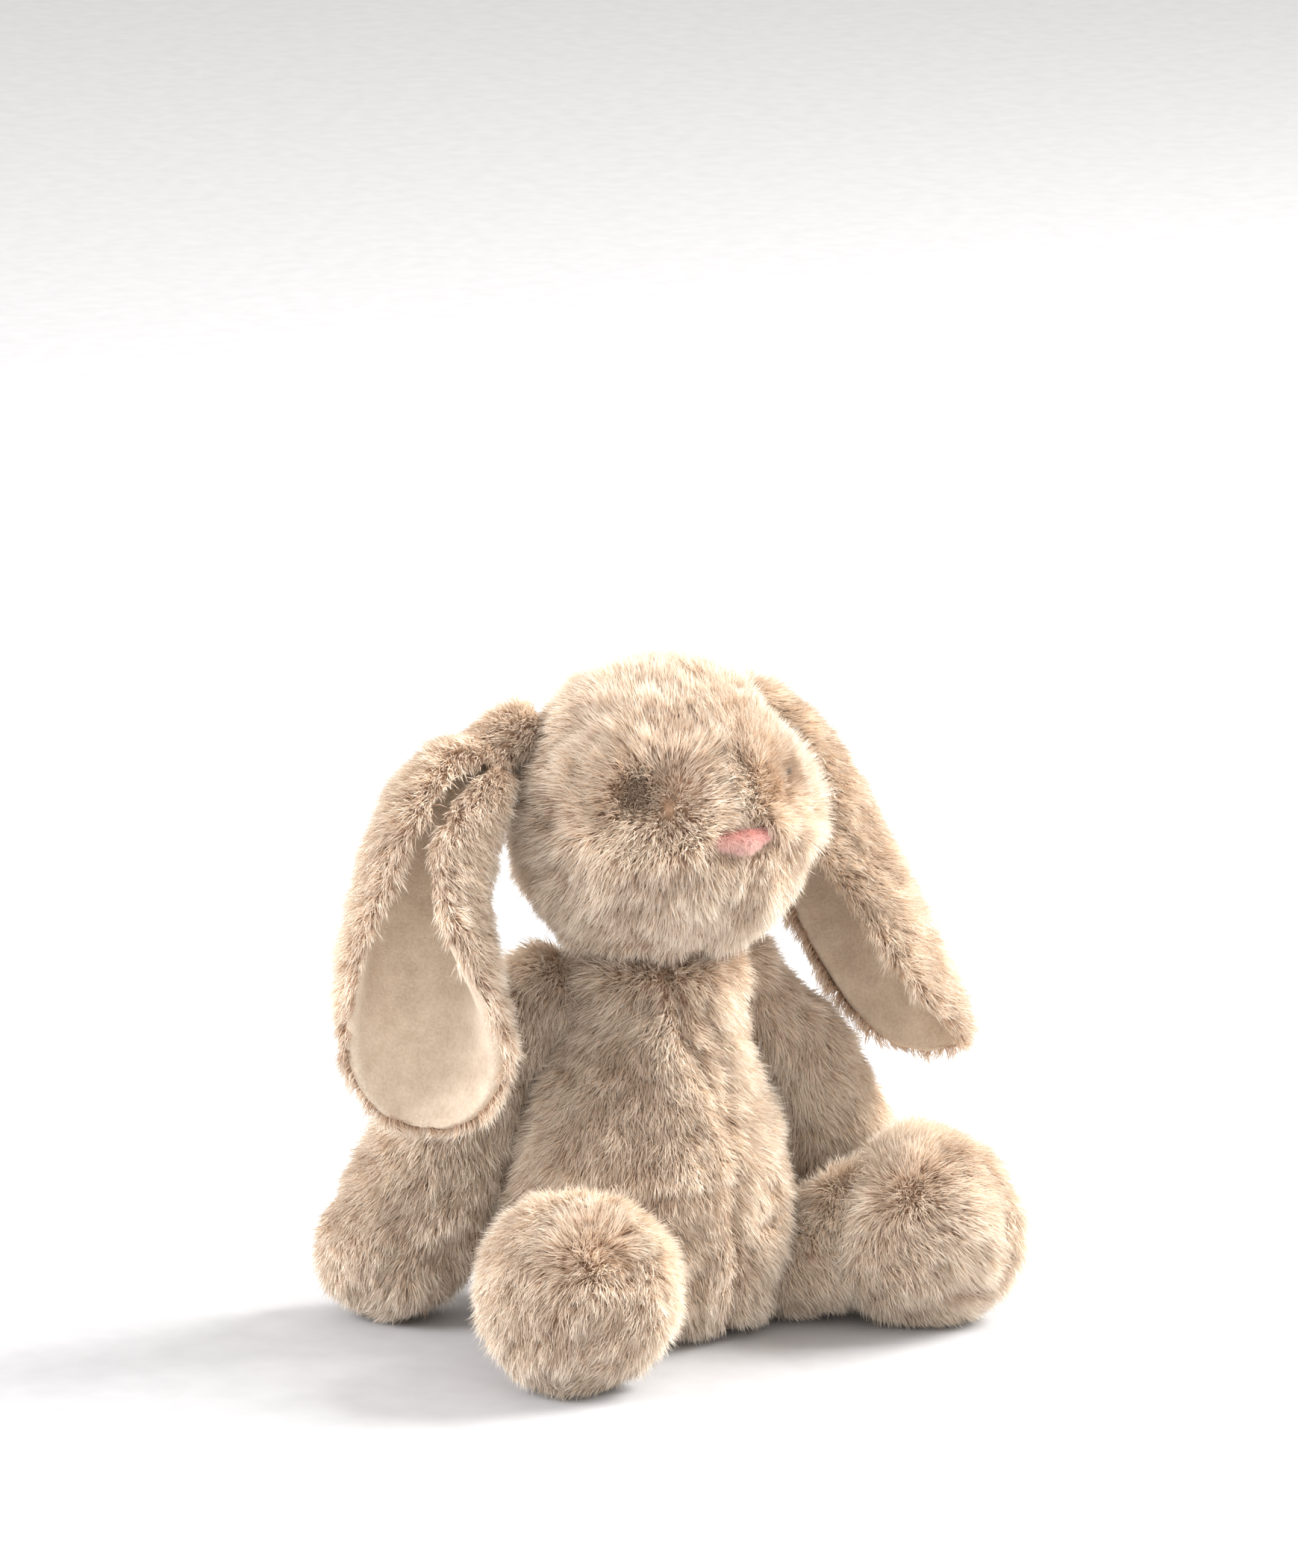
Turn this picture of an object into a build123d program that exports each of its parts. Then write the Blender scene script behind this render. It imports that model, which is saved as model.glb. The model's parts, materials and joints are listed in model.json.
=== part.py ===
"""Interactive plush rabbit, sitting.

A soft body holds a battery sound box. A post on the box carries the head, which turns on it.
In the head a motor and two gear stages swing one cross shaft, and both ears hang on its ends.
Each foot holds a press button. Millimetres, +Z up, the face looks along -Y, and the origin is
the middle of the flat seat. The toy's right side is at -X.
"""

import math
import os

from build123d import *

# ---- Driving dimensions -------------------------------------------------------------------

# Body of revolution about the Z axis: (radius, height) from the seat to the neck
TORSO_PROFILE = [
    (42.0, 0.0), (55.0, 9.0), (61.5, 25.0), (64.0, 46.0),
    (60.5, 76.0), (50.0, 105.0), (39.0, 130.0), (30.0, 150.0),
]
TORSO_TOP = TORSO_PROFILE[-1][1]
SOFT_GAP = 0.8

HEAD_CENTRE = Vector(0, 0, 214)
HEAD_RADIUS = 59.0
MUZZLE_CENTRE = Vector(0, -38, 207)
MUZZLE_RADIUS = 27.0

EYE_AZIMUTH = 43.5
EYE_RISE = 17.8
EYE_RADIUS = 4.5
EYE_SINK = 4.0
EYE_STEM_RADIUS = 2.0
EYE_STEM_LENGTH = 9.0

# Sound box inside the body
BOX_HALF_WIDTH = 33.0
BOX_FRONT_Y = -16.0
BOX_SPLIT_Y = 4.0
BOX_REAR_Y = 30.0
BOX_BOTTOM = 24.0
BOX_TOP = 104.0
WALL = 2.0
DIVIDER_Y = 8.0
BAY_HALF_WIDTH = 28.0
BAY_BOTTOM = 41.0
BAY_TOP = 89.5

CELL_RADIUS = 7.25
CELL_LENGTH = 50.5
CELL_Y = 19.0
CELL_HEIGHTS = [49.0, 65.0, 81.0]

SPEAKER_HEIGHT = 72.0
SPEAKER_RADIUS = 20.0

SCREW_X = 29.0
SCREW_HEIGHTS = [28.5, 99.5]
SCREW_RADIUS = 1.4
SCREW_HEAD_RADIUS = 2.5
BOSS_RADIUS = 3.4

DOOR_GAP = 0.3
DOOR_HALF_WIDTH = 30.0
DOOR_BOTTOM = 39.0
DOOR_TOP = 91.0
DOOR_RIB_HEIGHT = 48.0
DOOR_SCREW_HEIGHT = 87.0
DOOR_SCREW_HEAD_RADIUS = 3.0

# Power switch above the battery bay; its knob starts at its left stop
SWITCH_BODY = (-9.0, 9.0, 93.0, 100.0)
SWITCH_SLOT = (-7.0, 7.0, 94.3, 98.7)
SWITCH_KNOB = (-4.5, -0.5, 95.0, 98.0)

BOARD_HALF_WIDTH = 25.0
BOARD_THICKNESS = 1.6
BOARD_HEIGHTS = (31.0, 97.0)
PLATE_HALF_SIZE = 6.0
PLATE_THICKNESS = 0.6
PLATE_X = 31.0

# Opening in the back of the body, closed by a soft flap
OPENING_HALF_WIDTH = 31.5
OPENING_BOTTOM = 29.5
OPENING_TOP = 100.0
FLAP_THICKNESS = 7.0
FLAP_SIDE_GAP = 0.5
FLAP_BOTTOM_GAP = 1.5

# Neck
POST_RADIUS = 8.0
POST_BORE = 5.0
POST_TOP = 172.0
BUSH_CLEARANCE = 0.06
BUSH_BOTTOM = 157.0
BUSH_FLANGE_BOTTOM = 164.0
BUSH_TOP = 168.0
BUSH_RADIUS = 12.0
BUSH_FLANGE_RADIUS = 17.0

# Ear drive, in planes across the X axis: (y, z) of each shaft
GEAR_MODULE = 0.8
SHAFT_TEETH = 36
PINION_TEETH = 12
COMPOUND_TEETH = 30
EAR_SHAFT_YZ = (22.0, 246.0)
COMPOUND_BEARING = 225.0
MOTOR_BEARING = 200.0
EAR_SHAFT_RADIUS = 3.0
EAR_SHAFT_HALF_LENGTH = 59.5
RUNNING_CLEARANCE = 0.05
PRESSURE_ANGLE = 25.0
ADDENDUM = 0.75
DEDENDUM = 1.0
BACKLASH = 0.25

SHAFT_GEAR_X = (6.5, 11.5)
COMPOUND_GEAR_X = (0.0, 5.0)
COMPOUND_PINION_X = (5.0, 12.0)
MOTOR_PINION_X = (-1.0, 5.5)
HOUSING_X = (-4.0, 4.0, 14.5)
HOUSING_WALL = 2.0
MOTOR_RADIUS = 10.0
MOTOR_X = (-32.0, -4.5)
MOTOR_SHAFT_RADIUS = 1.0
COMPOUND_PIN_RADIUS = 1.5

# Limbs
LEG_PIVOT_RADIUS = 71.0
LEG_PIVOT_HEIGHT = 26.0
LEG_ROOT_RADIUS = 22.0
LEG_HEADING = 38.8
FOOT_DISTANCE = 111.7
FOOT_RADIUS = 38.5
BUTTON_RADIUS = 10.0
BUTTON_HOUSING_RADIUS = 13.0

SHOULDER_RADIUS = 20.0
PAW_RADIUS = 28.0
ARMS = {
    "right": (Vector(-40, 18, 130), Vector(-92, 58, 28.5)),
    "left": (Vector(43, 8, 130), Vector(108, 10, 28.5)),
}

# Ears, from root to tip. Each is a padded leaf folded lengthwise into a trough, lined inside:
# middle of its wall at the bottom of the trough, direction along the ear, direction the trough
# opens, width of the lining round the trough, half angle it curls through, wall thickness, and
# how far the section has changed from the round root (0) to the trough (1).
EARS = {
    "right": [
        ((-51.5, 22, 246), (-1, 0, 0), (0, -0.5, -0.87), 44, 130, 14, 0.0),
        ((-57.5, 22.2, 245.8), (-1, 0.03, -0.1), (0, -0.5, -0.87), 44, 130, 14, 0.0),
        ((-67, 23, 241.5), (-0.8, 0.1, -0.55), (-0.15, -0.65, -0.6), 46, 130, 14, 0.15),
        ((-75, 25, 231), (-0.62, 0.1, -0.8), (-0.5, -0.75, 0.2), 54, 135, 14, 0.6),
        ((-87, 25, 206), (-0.3, 0, -0.95), (-0.7, -0.68, 0.2), 66, 140, 13, 1.0),
        ((-93, 23, 175), (-0.13, -0.07, -1), (-0.72, -0.68, 0.1), 74, 112, 12, 1.0),
        ((-96.5, 19.5, 149), (-0.12, -0.12, -1), (-0.68, -0.73, 0.08), 74, 88, 12, 1.0),
        ((-100.5, 15.5, 124), (-0.2, -0.13, -1), (-0.62, -0.78, 0), 70, 62, 11, 1.0),
        ((-105.5, 12, 106), (-0.3, -0.15, -1), (-0.6, -0.8, 0), 54, 48, 9, 1.0),
        ((-110, 10, 95), (-0.35, -0.15, -1), (-0.6, -0.8, 0), 18, 30, 5, 1.0),
    ],
    "left": [
        ((51.5, 22, 246), (1, 0, 0), (0, -0.5, -0.87), 44, 130, 14, 0.0),
        ((57.5, 22.2, 245.8), (1, 0, -0.1), (0, -0.5, -0.87), 44, 130, 14, 0.0),
        ((70, 21.5, 242), (0.82, -0.1, -0.52), (-0.5, -0.2, -0.84), 46, 130, 14, 0.15),
        ((86, 18, 230), (0.7, -0.2, -0.7), (-0.7, -0.12, -0.7), 58, 125, 14, 0.6),
        ((102, 11, 207), (0.5, -0.3, -0.8), (-0.86, -0.08, -0.5), 68, 115, 13, 1.0),
        ((113, 2, 181), (0.33, -0.36, -0.87), (-0.92, -0.06, -0.38), 74, 102, 12, 1.0),
        ((120, -9, 156), (0.26, -0.4, -0.88), (-0.92, -0.06, -0.38), 74, 92, 12, 1.0),
        ((126, -20, 132), (0.25, -0.4, -0.88), (-0.92, -0.06, -0.38), 68, 76, 11, 1.0),
        ((130, -27, 115), (0.22, -0.38, -0.9), (-0.92, -0.06, -0.38), 52, 60, 9, 1.0),
        ((132, -31, 105), (0.22, -0.38, -0.9), (-0.92, -0.06, -0.38), 16, 30, 5, 1.0),
    ],
}
EAR_ROOT_RADIUS = 8.5
EAR_ROOT_SPAN = 83.0
EAR_SECTIONS_BETWEEN = 2
EAR_CORNERS = 9
HUB_RADIUS = 5.5
HUB_X = (53.5, 59.5)
HUB_ROOM = 0.3
EAR_ROD_RADIUS = 2.5
EAR_ROD_STATION = 3
LINING_THICKNESS = 1.2
LINING_SHARE = 0.9
LINING_GAP = 0.5

TAIL_CENTRE = Vector(0, 64, 15.5)
TAIL_RADIUS = 14.0


# ---- Shapes that several pieces share -----------------------------------------------------

def cylinder_between(start, end, radius):
    """Plain cylinder from one point to the other."""
    start, end = Vector(start), Vector(end)
    place = Plane(origin=start, z_dir=end - start)
    return place * Cylinder(radius, (end - start).length, align=(Align.CENTER, Align.CENTER, Align.MIN))


def tube_between(start, end, outer_radius, inner_radius):
    return cylinder_between(start, end, outer_radius) - cylinder_between(start, end, inner_radius)


def box_between(low, high):
    """Box given by its two opposite corners."""
    size = [b - a for a, b in zip(low, high)]
    return Pos(*low) * Box(*size, align=(Align.MIN, Align.MIN, Align.MIN))


def ball(centre, radius):
    return Pos(centre.X, centre.Y, centre.Z) * Sphere(radius)


def tapered_capsule(start, start_radius, end, end_radius):
    """Two balls and the cone that touches both, as one solid of revolution."""
    axis = end - start
    length = axis.length
    lean = math.asin((end_radius - start_radius) / length)

    def on_circle(height, radius, angle):
        return (radius * math.cos(angle), height + radius * math.sin(angle))

    start_pole = (0, -start_radius)
    start_mid = on_circle(0, start_radius, (-math.pi / 2 - lean) / 2)
    start_tangent = on_circle(0, start_radius, -lean)
    end_tangent = on_circle(length, end_radius, -lean)
    end_mid = on_circle(length, end_radius, (math.pi / 2 - lean) / 2)
    end_pole = (0, length + end_radius)
    outline = [
        ThreePointArc(start_pole, start_mid, start_tangent),
        Line(start_tangent, end_tangent),
        ThreePointArc(end_tangent, end_mid, end_pole),
        Line(end_pole, start_pole),
    ]
    profile = Plane.XZ * make_face(outline)
    return Plane(origin=start, z_dir=axis) * revolve(profile, Axis.Z)


def torso_of_revolution(grow):
    """The body's outer shape, with every radius larger by grow."""
    points = [(radius + grow, height) for radius, height in TORSO_PROFILE]
    side = Spline(points)
    outline = [
        Line((0, 0), points[0]),
        side,
        Line(points[-1], (0, TORSO_TOP)),
        Line((0, TORSO_TOP), (0, 0)),
    ]
    return revolve(Plane.XZ * make_face(outline), Axis.Z)


def side_sign(side):
    return -1 if side == "right" else 1


def leg_direction(side):
    """Horizontal unit vector from the body's axis to the foot."""
    heading = math.radians(90 - LEG_HEADING)
    return Vector(side_sign(side) * math.sin(heading), -math.cos(heading), 0)


def leg_pivot(side):
    return leg_direction(side) * LEG_PIVOT_RADIUS + Vector(0, 0, LEG_PIVOT_HEIGHT)


def foot_centre(side):
    return leg_direction(side) * FOOT_DISTANCE + Vector(0, 0, FOOT_RADIUS)


def bearing_offset(origin, bearing, distance):
    """Point at a distance from origin, along a bearing from +Y towards +Z."""
    angle = math.radians(bearing)
    return (origin[0] + distance * math.cos(angle), origin[1] + distance * math.sin(angle))


def centre_distance(teeth_a, teeth_b):
    return GEAR_MODULE * (teeth_a + teeth_b) / 2


COMPOUND_YZ = bearing_offset(
    EAR_SHAFT_YZ, COMPOUND_BEARING, centre_distance(SHAFT_TEETH, PINION_TEETH)
)
MOTOR_YZ = bearing_offset(
    COMPOUND_YZ, MOTOR_BEARING, centre_distance(COMPOUND_TEETH, PINION_TEETH)
)


# ---- Gears --------------------------------------------------------------------------------

def involute_flank(base_radius, tip_radius, steps=7):
    """(radius, angle) pairs along one involute, from the base circle to the tip."""
    tip_roll = math.sqrt((tip_radius / base_radius) ** 2 - 1)
    pairs = []
    for i in range(steps):
        roll = tip_roll * i / (steps - 1)
        radius = base_radius * math.hypot(1, roll)
        pairs.append((radius, roll - math.atan(roll)))
    return pairs


def gear(teeth, x_range, centre_yz, tooth_bearing, bore):
    """Spur gear about an axis along X, with one tooth centred on tooth_bearing degrees."""
    pitch_radius = GEAR_MODULE * teeth / 2
    base_radius = pitch_radius * math.cos(math.radians(PRESSURE_ANGLE))
    tip_radius = pitch_radius + ADDENDUM * GEAR_MODULE
    root_radius = pitch_radius - DEDENDUM * GEAR_MODULE
    pressure = math.radians(PRESSURE_ANGLE)
    half_tooth = math.pi / (2 * teeth) - BACKLASH / (4 * pitch_radius)
    half_at_base = half_tooth + math.tan(pressure) - pressure
    flank = [(root_radius, 0.0)] + involute_flank(base_radius, tip_radius)
    flank = [pair for pair in flank if pair[0] >= root_radius]
    points = []
    for tooth in range(teeth):
        middle = 2 * math.pi * tooth / teeth + math.radians(tooth_bearing)
        rising = [(radius, middle - half_at_base + turn) for radius, turn in flank]
        falling = [(radius, middle + half_at_base - turn) for radius, turn in reversed(flank)]
        for radius, angle in rising + falling:
            points.append((radius * math.cos(angle), radius * math.sin(angle)))
    outline = make_face(Polyline(points, close=True))
    low, high = x_range
    wheel = extrude(outline, high - low) - cylinder_between((0, 0, 0), (0, 0, high - low), bore)
    place = Plane(origin=(low, *centre_yz), x_dir=(0, 1, 0), z_dir=(1, 0, 0))
    return place * wheel


def ear_drive_gears():
    """Shaft gear, compound gear and motor pinion, in mesh at rest."""
    tooth_step = 360 / PINION_TEETH
    shaft_gear = gear(SHAFT_TEETH, SHAFT_GEAR_X, EAR_SHAFT_YZ, COMPOUND_BEARING, EAR_SHAFT_RADIUS)
    compound_bore = COMPOUND_PIN_RADIUS + RUNNING_CLEARANCE
    wheel = gear(COMPOUND_TEETH, COMPOUND_GEAR_X, COMPOUND_YZ, MOTOR_BEARING, compound_bore)
    small = gear(
        PINION_TEETH, COMPOUND_PINION_X, COMPOUND_YZ,
        COMPOUND_BEARING + 180 + tooth_step / 2, compound_bore,
    )
    motor_pinion = gear(
        PINION_TEETH, MOTOR_PINION_X, MOTOR_YZ,
        MOTOR_BEARING + 180 + tooth_step / 2, MOTOR_SHAFT_RADIUS,
    )
    return shaft_gear, wheel + small, motor_pinion


def drive_envelope(low_x, high_x, grow):
    """Space round the three gear centres, used for the housing and for the room it needs."""
    radii = [
        (EAR_SHAFT_YZ, GEAR_MODULE * SHAFT_TEETH / 2 + 3.4),
        (COMPOUND_YZ, GEAR_MODULE * COMPOUND_TEETH / 2 + 3.4),
        (MOTOR_YZ, 12.8),
    ]
    rounds = [
        cylinder_between((low_x, *centre), (high_x, *centre), radius + grow)
        for centre, radius in radii
    ]
    return rounds[0] + rounds[1] + rounds[2]


# ---- Soft parts ---------------------------------------------------------------------------

def between(first, second, share):
    """Mix of two equal-length number lists."""
    return tuple(a + (b - a) * share for a, b in zip(first, second))


def ear_stations(side):
    """The stated ear stations with more mixed in between them, so that the loft can't twist."""
    stations = []
    stated = EARS[side]
    for this, following in zip(stated, stated[1:]):
        for i in range(EAR_SECTIONS_BETWEEN):
            share = i / EAR_SECTIONS_BETWEEN
            vectors = [between(a, b, share) for a, b in zip(this[:3], following[:3])]
            stations.append((*vectors, *between(this[3:], following[3:], share)))
    return stations + [stated[-1]]


def ear_plane(centre, along, face):
    """Section plane of an ear, its Y towards the side that the trough opens to."""
    along = Vector(*along).normalized()
    face = Vector(*face)
    face = (face - along * face.dot(along)).normalized()
    return Plane(origin=Vector(*centre), x_dir=face.cross(along), z_dir=along)


def arc_points(radius, middle_height, half_angle):
    """Evenly spaced points on an arc that sags below middle_height, left to right."""
    points = []
    for i in range(EAR_CORNERS):
        angle = math.radians(half_angle) * (2 * i / (EAR_CORNERS - 1) - 1)
        points.append((radius * math.sin(angle), middle_height - radius * math.cos(angle)))
    return points


def ear_core(side):
    """Padded and furred ear without its lining, lofted through many-sided sections."""
    sections = []
    for centre, along, face, width, curl, wall, openness in ear_stations(side):
        radius = width / (2 * math.radians(curl))
        middle = radius + wall / 2
        trough = arc_points(radius + wall, middle, curl) + arc_points(radius, middle, curl)[::-1]
        round_root = arc_points(EAR_ROOT_RADIUS, 0, EAR_ROOT_SPAN)
        round_root += [(x, -y) for x, y in reversed(round_root)]
        corners = [between(a, b, openness) for a, b in zip(round_root, trough)]
        sections.append(ear_plane(centre, along, face) * make_face(Polyline(corners, close=True)))
    return loft(sections)


def ear_lining(side):
    """Thin velour leaf that follows the inside of the trough where it's fully open."""
    sections = []
    for centre, along, face, width, curl, wall, openness in ear_stations(side)[:-1]:
        if openness < 1:
            continue
        radius = width / (2 * math.radians(curl))
        middle = radius + wall / 2
        outer = radius - LINING_GAP
        curl *= LINING_SHARE
        corners = arc_points(outer, middle, curl)
        corners += arc_points(outer - LINING_THICKNESS, middle, curl)[::-1]
        sections.append(ear_plane(centre, along, face) * make_face(Polyline(corners, close=True)))
    return loft(sections) - ear_core(side)


def ear_stiffener(side, room):
    """Hub on the shaft's end and a rod down the top of the ear, both grown by room."""
    sign = side_sign(side)
    hub_start, hub_end = sign * (HUB_X[0] - room), sign * (HUB_X[1] + room)
    hub = cylinder_between(
        (hub_start, *EAR_SHAFT_YZ), (hub_end, *EAR_SHAFT_YZ), HUB_RADIUS + room
    )
    inner = Vector(sign * (HUB_X[1] - 2), EAR_SHAFT_YZ[0], EAR_SHAFT_YZ[1] - HUB_RADIUS + 2)
    outer = Vector(*EARS[side][EAR_ROD_STATION][0])
    reach = (outer - inner) * 0.9
    rod = cylinder_between(inner, inner + reach + reach.normalized() * room, EAR_ROD_RADIUS + room)
    return hub + rod


def ear_armature(side):
    """Plastic hub and rod, bored for the shaft."""
    shaft = cylinder_between((-80, *EAR_SHAFT_YZ), (80, *EAR_SHAFT_YZ), EAR_SHAFT_RADIUS)
    return ear_stiffener(side, 0) - shaft


def ear_plush(side):
    """Ear with room for its stiffener and for the shaft that passes into it."""
    end = EAR_SHAFT_HALF_LENGTH + HUB_ROOM
    shaft = cylinder_between(
        (-end, *EAR_SHAFT_YZ), (end, *EAR_SHAFT_YZ), EAR_SHAFT_RADIUS + HUB_ROOM
    )
    return ear_core(side) - ear_stiffener(side, HUB_ROOM) - shaft


def torso_plush():
    body = torso_of_revolution(0)
    room = 1.0
    body -= box_between(
        (-BOX_HALF_WIDTH - room, BOX_FRONT_Y - room, 20),
        (BOX_HALF_WIDTH + room, BOX_REAR_Y + room, BOX_TOP + room),
    )
    body -= cylinder_between((0, 0, 4), (0, 0, 22), 41)
    body -= cylinder_between((0, 0, BOX_TOP), (0, 0, TORSO_TOP + 1), 15)
    body -= box_between(
        (-OPENING_HALF_WIDTH, 25, OPENING_BOTTOM), (OPENING_HALF_WIDTH, 80, OPENING_TOP)
    )
    for side in ("right", "left"):
        body -= ball(leg_pivot(side), LEG_ROOT_RADIUS + SOFT_GAP)
    return body


def flap_shell(outer_grow, inner_grow, half_width, bottom, top):
    """Part of the body's skin behind the sound box."""
    shell = torso_of_revolution(outer_grow) - torso_of_revolution(inner_grow)
    return shell & box_between((-half_width, 20, bottom), (half_width, 80, top))


def head_plush():
    head = ball(HEAD_CENTRE, HEAD_RADIUS) + ball(MUZZLE_CENTRE, MUZZLE_RADIUS) - nose_shape()
    for side in ("right", "left"):
        head -= eye_shape(side, room=0.2)
    room = 0.6
    head -= drive_envelope(HOUSING_X[0] - room, HOUSING_X[2] + room, room)
    head -= cylinder_between(
        (MOTOR_X[0] - room, *MOTOR_YZ), (MOTOR_X[1] + 2, *MOTOR_YZ), MOTOR_RADIUS + room
    )
    head -= cylinder_between((-62, *EAR_SHAFT_YZ), (62, *EAR_SHAFT_YZ), EAR_SHAFT_RADIUS + 1.5)
    head -= cylinder_between((0, 0, 150), (0, 0, BUSH_FLANGE_BOTTOM + 1), BUSH_RADIUS + room)
    head -= cylinder_between(
        (0, 0, BUSH_FLANGE_BOTTOM - room), (0, 0, 181), BUSH_FLANGE_RADIUS + room
    )
    head -= box_between((-10 - room, -12 - room, 178), (10 + room, 12 + room, 235))
    return head


def arm_plush(side):
    shoulder, paw = ARMS[side]
    arm = tapered_capsule(shoulder, SHOULDER_RADIUS, paw, PAW_RADIUS)
    return arm - torso_of_revolution(SOFT_GAP)


def leg_plush(side):
    pivot, foot = leg_pivot(side), foot_centre(side)
    leg = tapered_capsule(pivot, LEG_ROOT_RADIUS, foot, LEG_ROOT_RADIUS + 0.01)
    leg += ball(foot, FOOT_RADIUS)
    direction = leg_direction(side)
    leg -= cylinder_between(
        foot + direction * 11.5, foot + direction * 27.5, BUTTON_HOUSING_RADIUS + 0.3
    )
    return leg - cylinder_between(pivot - direction * 30, foot + direction * 14, 2.5)


# ---- Face ---------------------------------------------------------------------------------

def eye_direction(side):
    azimuth, rise = math.radians(EYE_AZIMUTH), math.radians(EYE_RISE)
    return Vector(
        side_sign(side) * math.sin(azimuth) * math.cos(rise),
        -math.cos(azimuth) * math.cos(rise),
        math.sin(rise),
    )


def eye_shape(side, room=0.0):
    """Bead that tapers into its stem, sunk so that the bead's middle is below the fur."""
    direction = eye_direction(side)
    centre = HEAD_CENTRE + direction * (HEAD_RADIUS - EYE_SINK)
    stem_end = centre - direction * EYE_STEM_LENGTH
    return tapered_capsule(stem_end, EYE_STEM_RADIUS + room, centre, EYE_RADIUS + room)


def nose_shape():
    """Soft wedge, wider than high, sewn on the front of the muzzle."""
    front = MUZZLE_CENTRE + Vector(0, -MUZZLE_RADIUS + 1.0, 5.0)
    outline = Ellipse(10.5, 5.0)
    wedge = Plane(origin=front + Vector(0, 4, 0), x_dir=(1, 0, 0), z_dir=(0, -1, 0)) * outline
    return extrude(wedge, 5.5)


# ---- Sound box ----------------------------------------------------------------------------

def screw_places():
    return [(x, z) for x in (-SCREW_X, SCREW_X) for z in SCREW_HEIGHTS]


def case_half(front_y, rear_y, closed_front):
    """One half of the box: an open tray with a boss at each screw."""
    outer = box_between((-BOX_HALF_WIDTH, front_y, BOX_BOTTOM), (BOX_HALF_WIDTH, rear_y, BOX_TOP))
    inner_front = front_y + WALL if closed_front else front_y
    inner_rear = rear_y if closed_front else rear_y - WALL
    tray = outer - box_between(
        (-BOX_HALF_WIDTH + WALL, inner_front, BOX_BOTTOM + WALL),
        (BOX_HALF_WIDTH - WALL, inner_rear, BOX_TOP - WALL),
    )
    for x, z in screw_places():
        tray += cylinder_between((x, front_y + 0.5, z), (x, rear_y - 0.5, z), BOSS_RADIUS) & outer
    return tray


def sound_box_front():
    tray = case_half(BOX_FRONT_Y, BOX_SPLIT_Y, closed_front=True)
    for x, z in screw_places():
        tray -= cylinder_between((x, BOX_FRONT_Y + WALL, z), (x, BOX_SPLIT_Y + 1, z), SCREW_RADIUS)
    holes = [(0.0, 0.0)]
    for ring_radius, count in ((6.0, 6), (12.0, 12)):
        for i in range(count):
            angle = 2 * math.pi * i / count
            holes.append((ring_radius * math.cos(angle), ring_radius * math.sin(angle)))
    for x, rise in holes:
        z = SPEAKER_HEIGHT + rise
        tray -= cylinder_between((x, BOX_FRONT_Y - 1, z), (x, BOX_FRONT_Y + WALL + 1, z), 1.2)
    return tray


def sound_box_rear():
    tray = case_half(BOX_SPLIT_Y, BOX_REAR_Y, closed_front=False)
    tray += box_between(
        (-BOX_HALF_WIDTH, DIVIDER_Y, BOX_BOTTOM), (BOX_HALF_WIDTH, DIVIDER_Y + WALL, BAY_TOP + WALL)
    )
    tray -= box_between(
        (-BAY_HALF_WIDTH, BOX_REAR_Y - WALL - 1, BAY_BOTTOM),
        (BAY_HALF_WIDTH, BOX_REAR_Y + 1, BAY_TOP),
    )
    left, right, bottom, top = SWITCH_SLOT
    tray -= box_between((left, BOX_REAR_Y - WALL - 1, bottom), (right, BOX_REAR_Y + 1, top))
    for x, z in screw_places():
        tray -= cylinder_between((x, BOX_SPLIT_Y - 1, z), (x, BOX_REAR_Y + 1, z), SCREW_RADIUS)
        tray -= cylinder_between(
            (x, BOX_REAR_Y - 1.8, z), (x, BOX_REAR_Y + 1, z), SCREW_HEAD_RADIUS + 0.2
        )
    return tray


def case_screws():
    screws = []
    for x, z in screw_places():
        shank = cylinder_between((x, BOX_FRONT_Y + 6, z), (x, BOX_REAR_Y - 1.8, z), SCREW_RADIUS)
        head = cylinder_between((x, BOX_REAR_Y - 1.8, z), (x, BOX_REAR_Y - 0.2, z), SCREW_HEAD_RADIUS)
        screws.append(shank + head)
    return Compound(screws)


def speaker():
    y = BOX_FRONT_Y + WALL
    frame = cylinder_between((0, y, SPEAKER_HEIGHT), (0, y + 5, SPEAKER_HEIGHT), SPEAKER_RADIUS)
    return frame - cylinder_between((0, y - 1, SPEAKER_HEIGHT), (0, y + 3.5, SPEAKER_HEIGHT), 17)


def speaker_magnet():
    y = BOX_FRONT_Y + WALL + 5
    return cylinder_between((0, y, SPEAKER_HEIGHT), (0, y + 6, SPEAKER_HEIGHT), 9)


def circuit_board():
    bottom, top = BOARD_HEIGHTS
    return box_between((-BOARD_HALF_WIDTH, 0, bottom), (BOARD_HALF_WIDTH, BOARD_THICKNESS, top))


def board_parts():
    """Sound chip, motor driver and two capacitors on the board's rear face."""
    rear = BOARD_THICKNESS
    chips = [
        box_between((-12, rear, 70), (2, rear + 1.8, 84)),
        box_between((8, rear, 72), (18, rear + 1.6, 79)),
    ]
    cans = [cylinder_between((x, rear, 46), (x, rear + 5.5, 46), 3.0) for x in (-14, -4)]
    return Compound(chips + cans)


def batteries():
    half = CELL_LENGTH / 2
    cells = []
    for z in CELL_HEIGHTS:
        can = cylinder_between((-half, CELL_Y, z), (half - 1.2, CELL_Y, z), CELL_RADIUS)
        tip = cylinder_between((half - 1.2, CELL_Y, z), (half, CELL_Y, z), 2.7)
        cells.append(can + tip)
    return Compound(cells)


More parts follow.
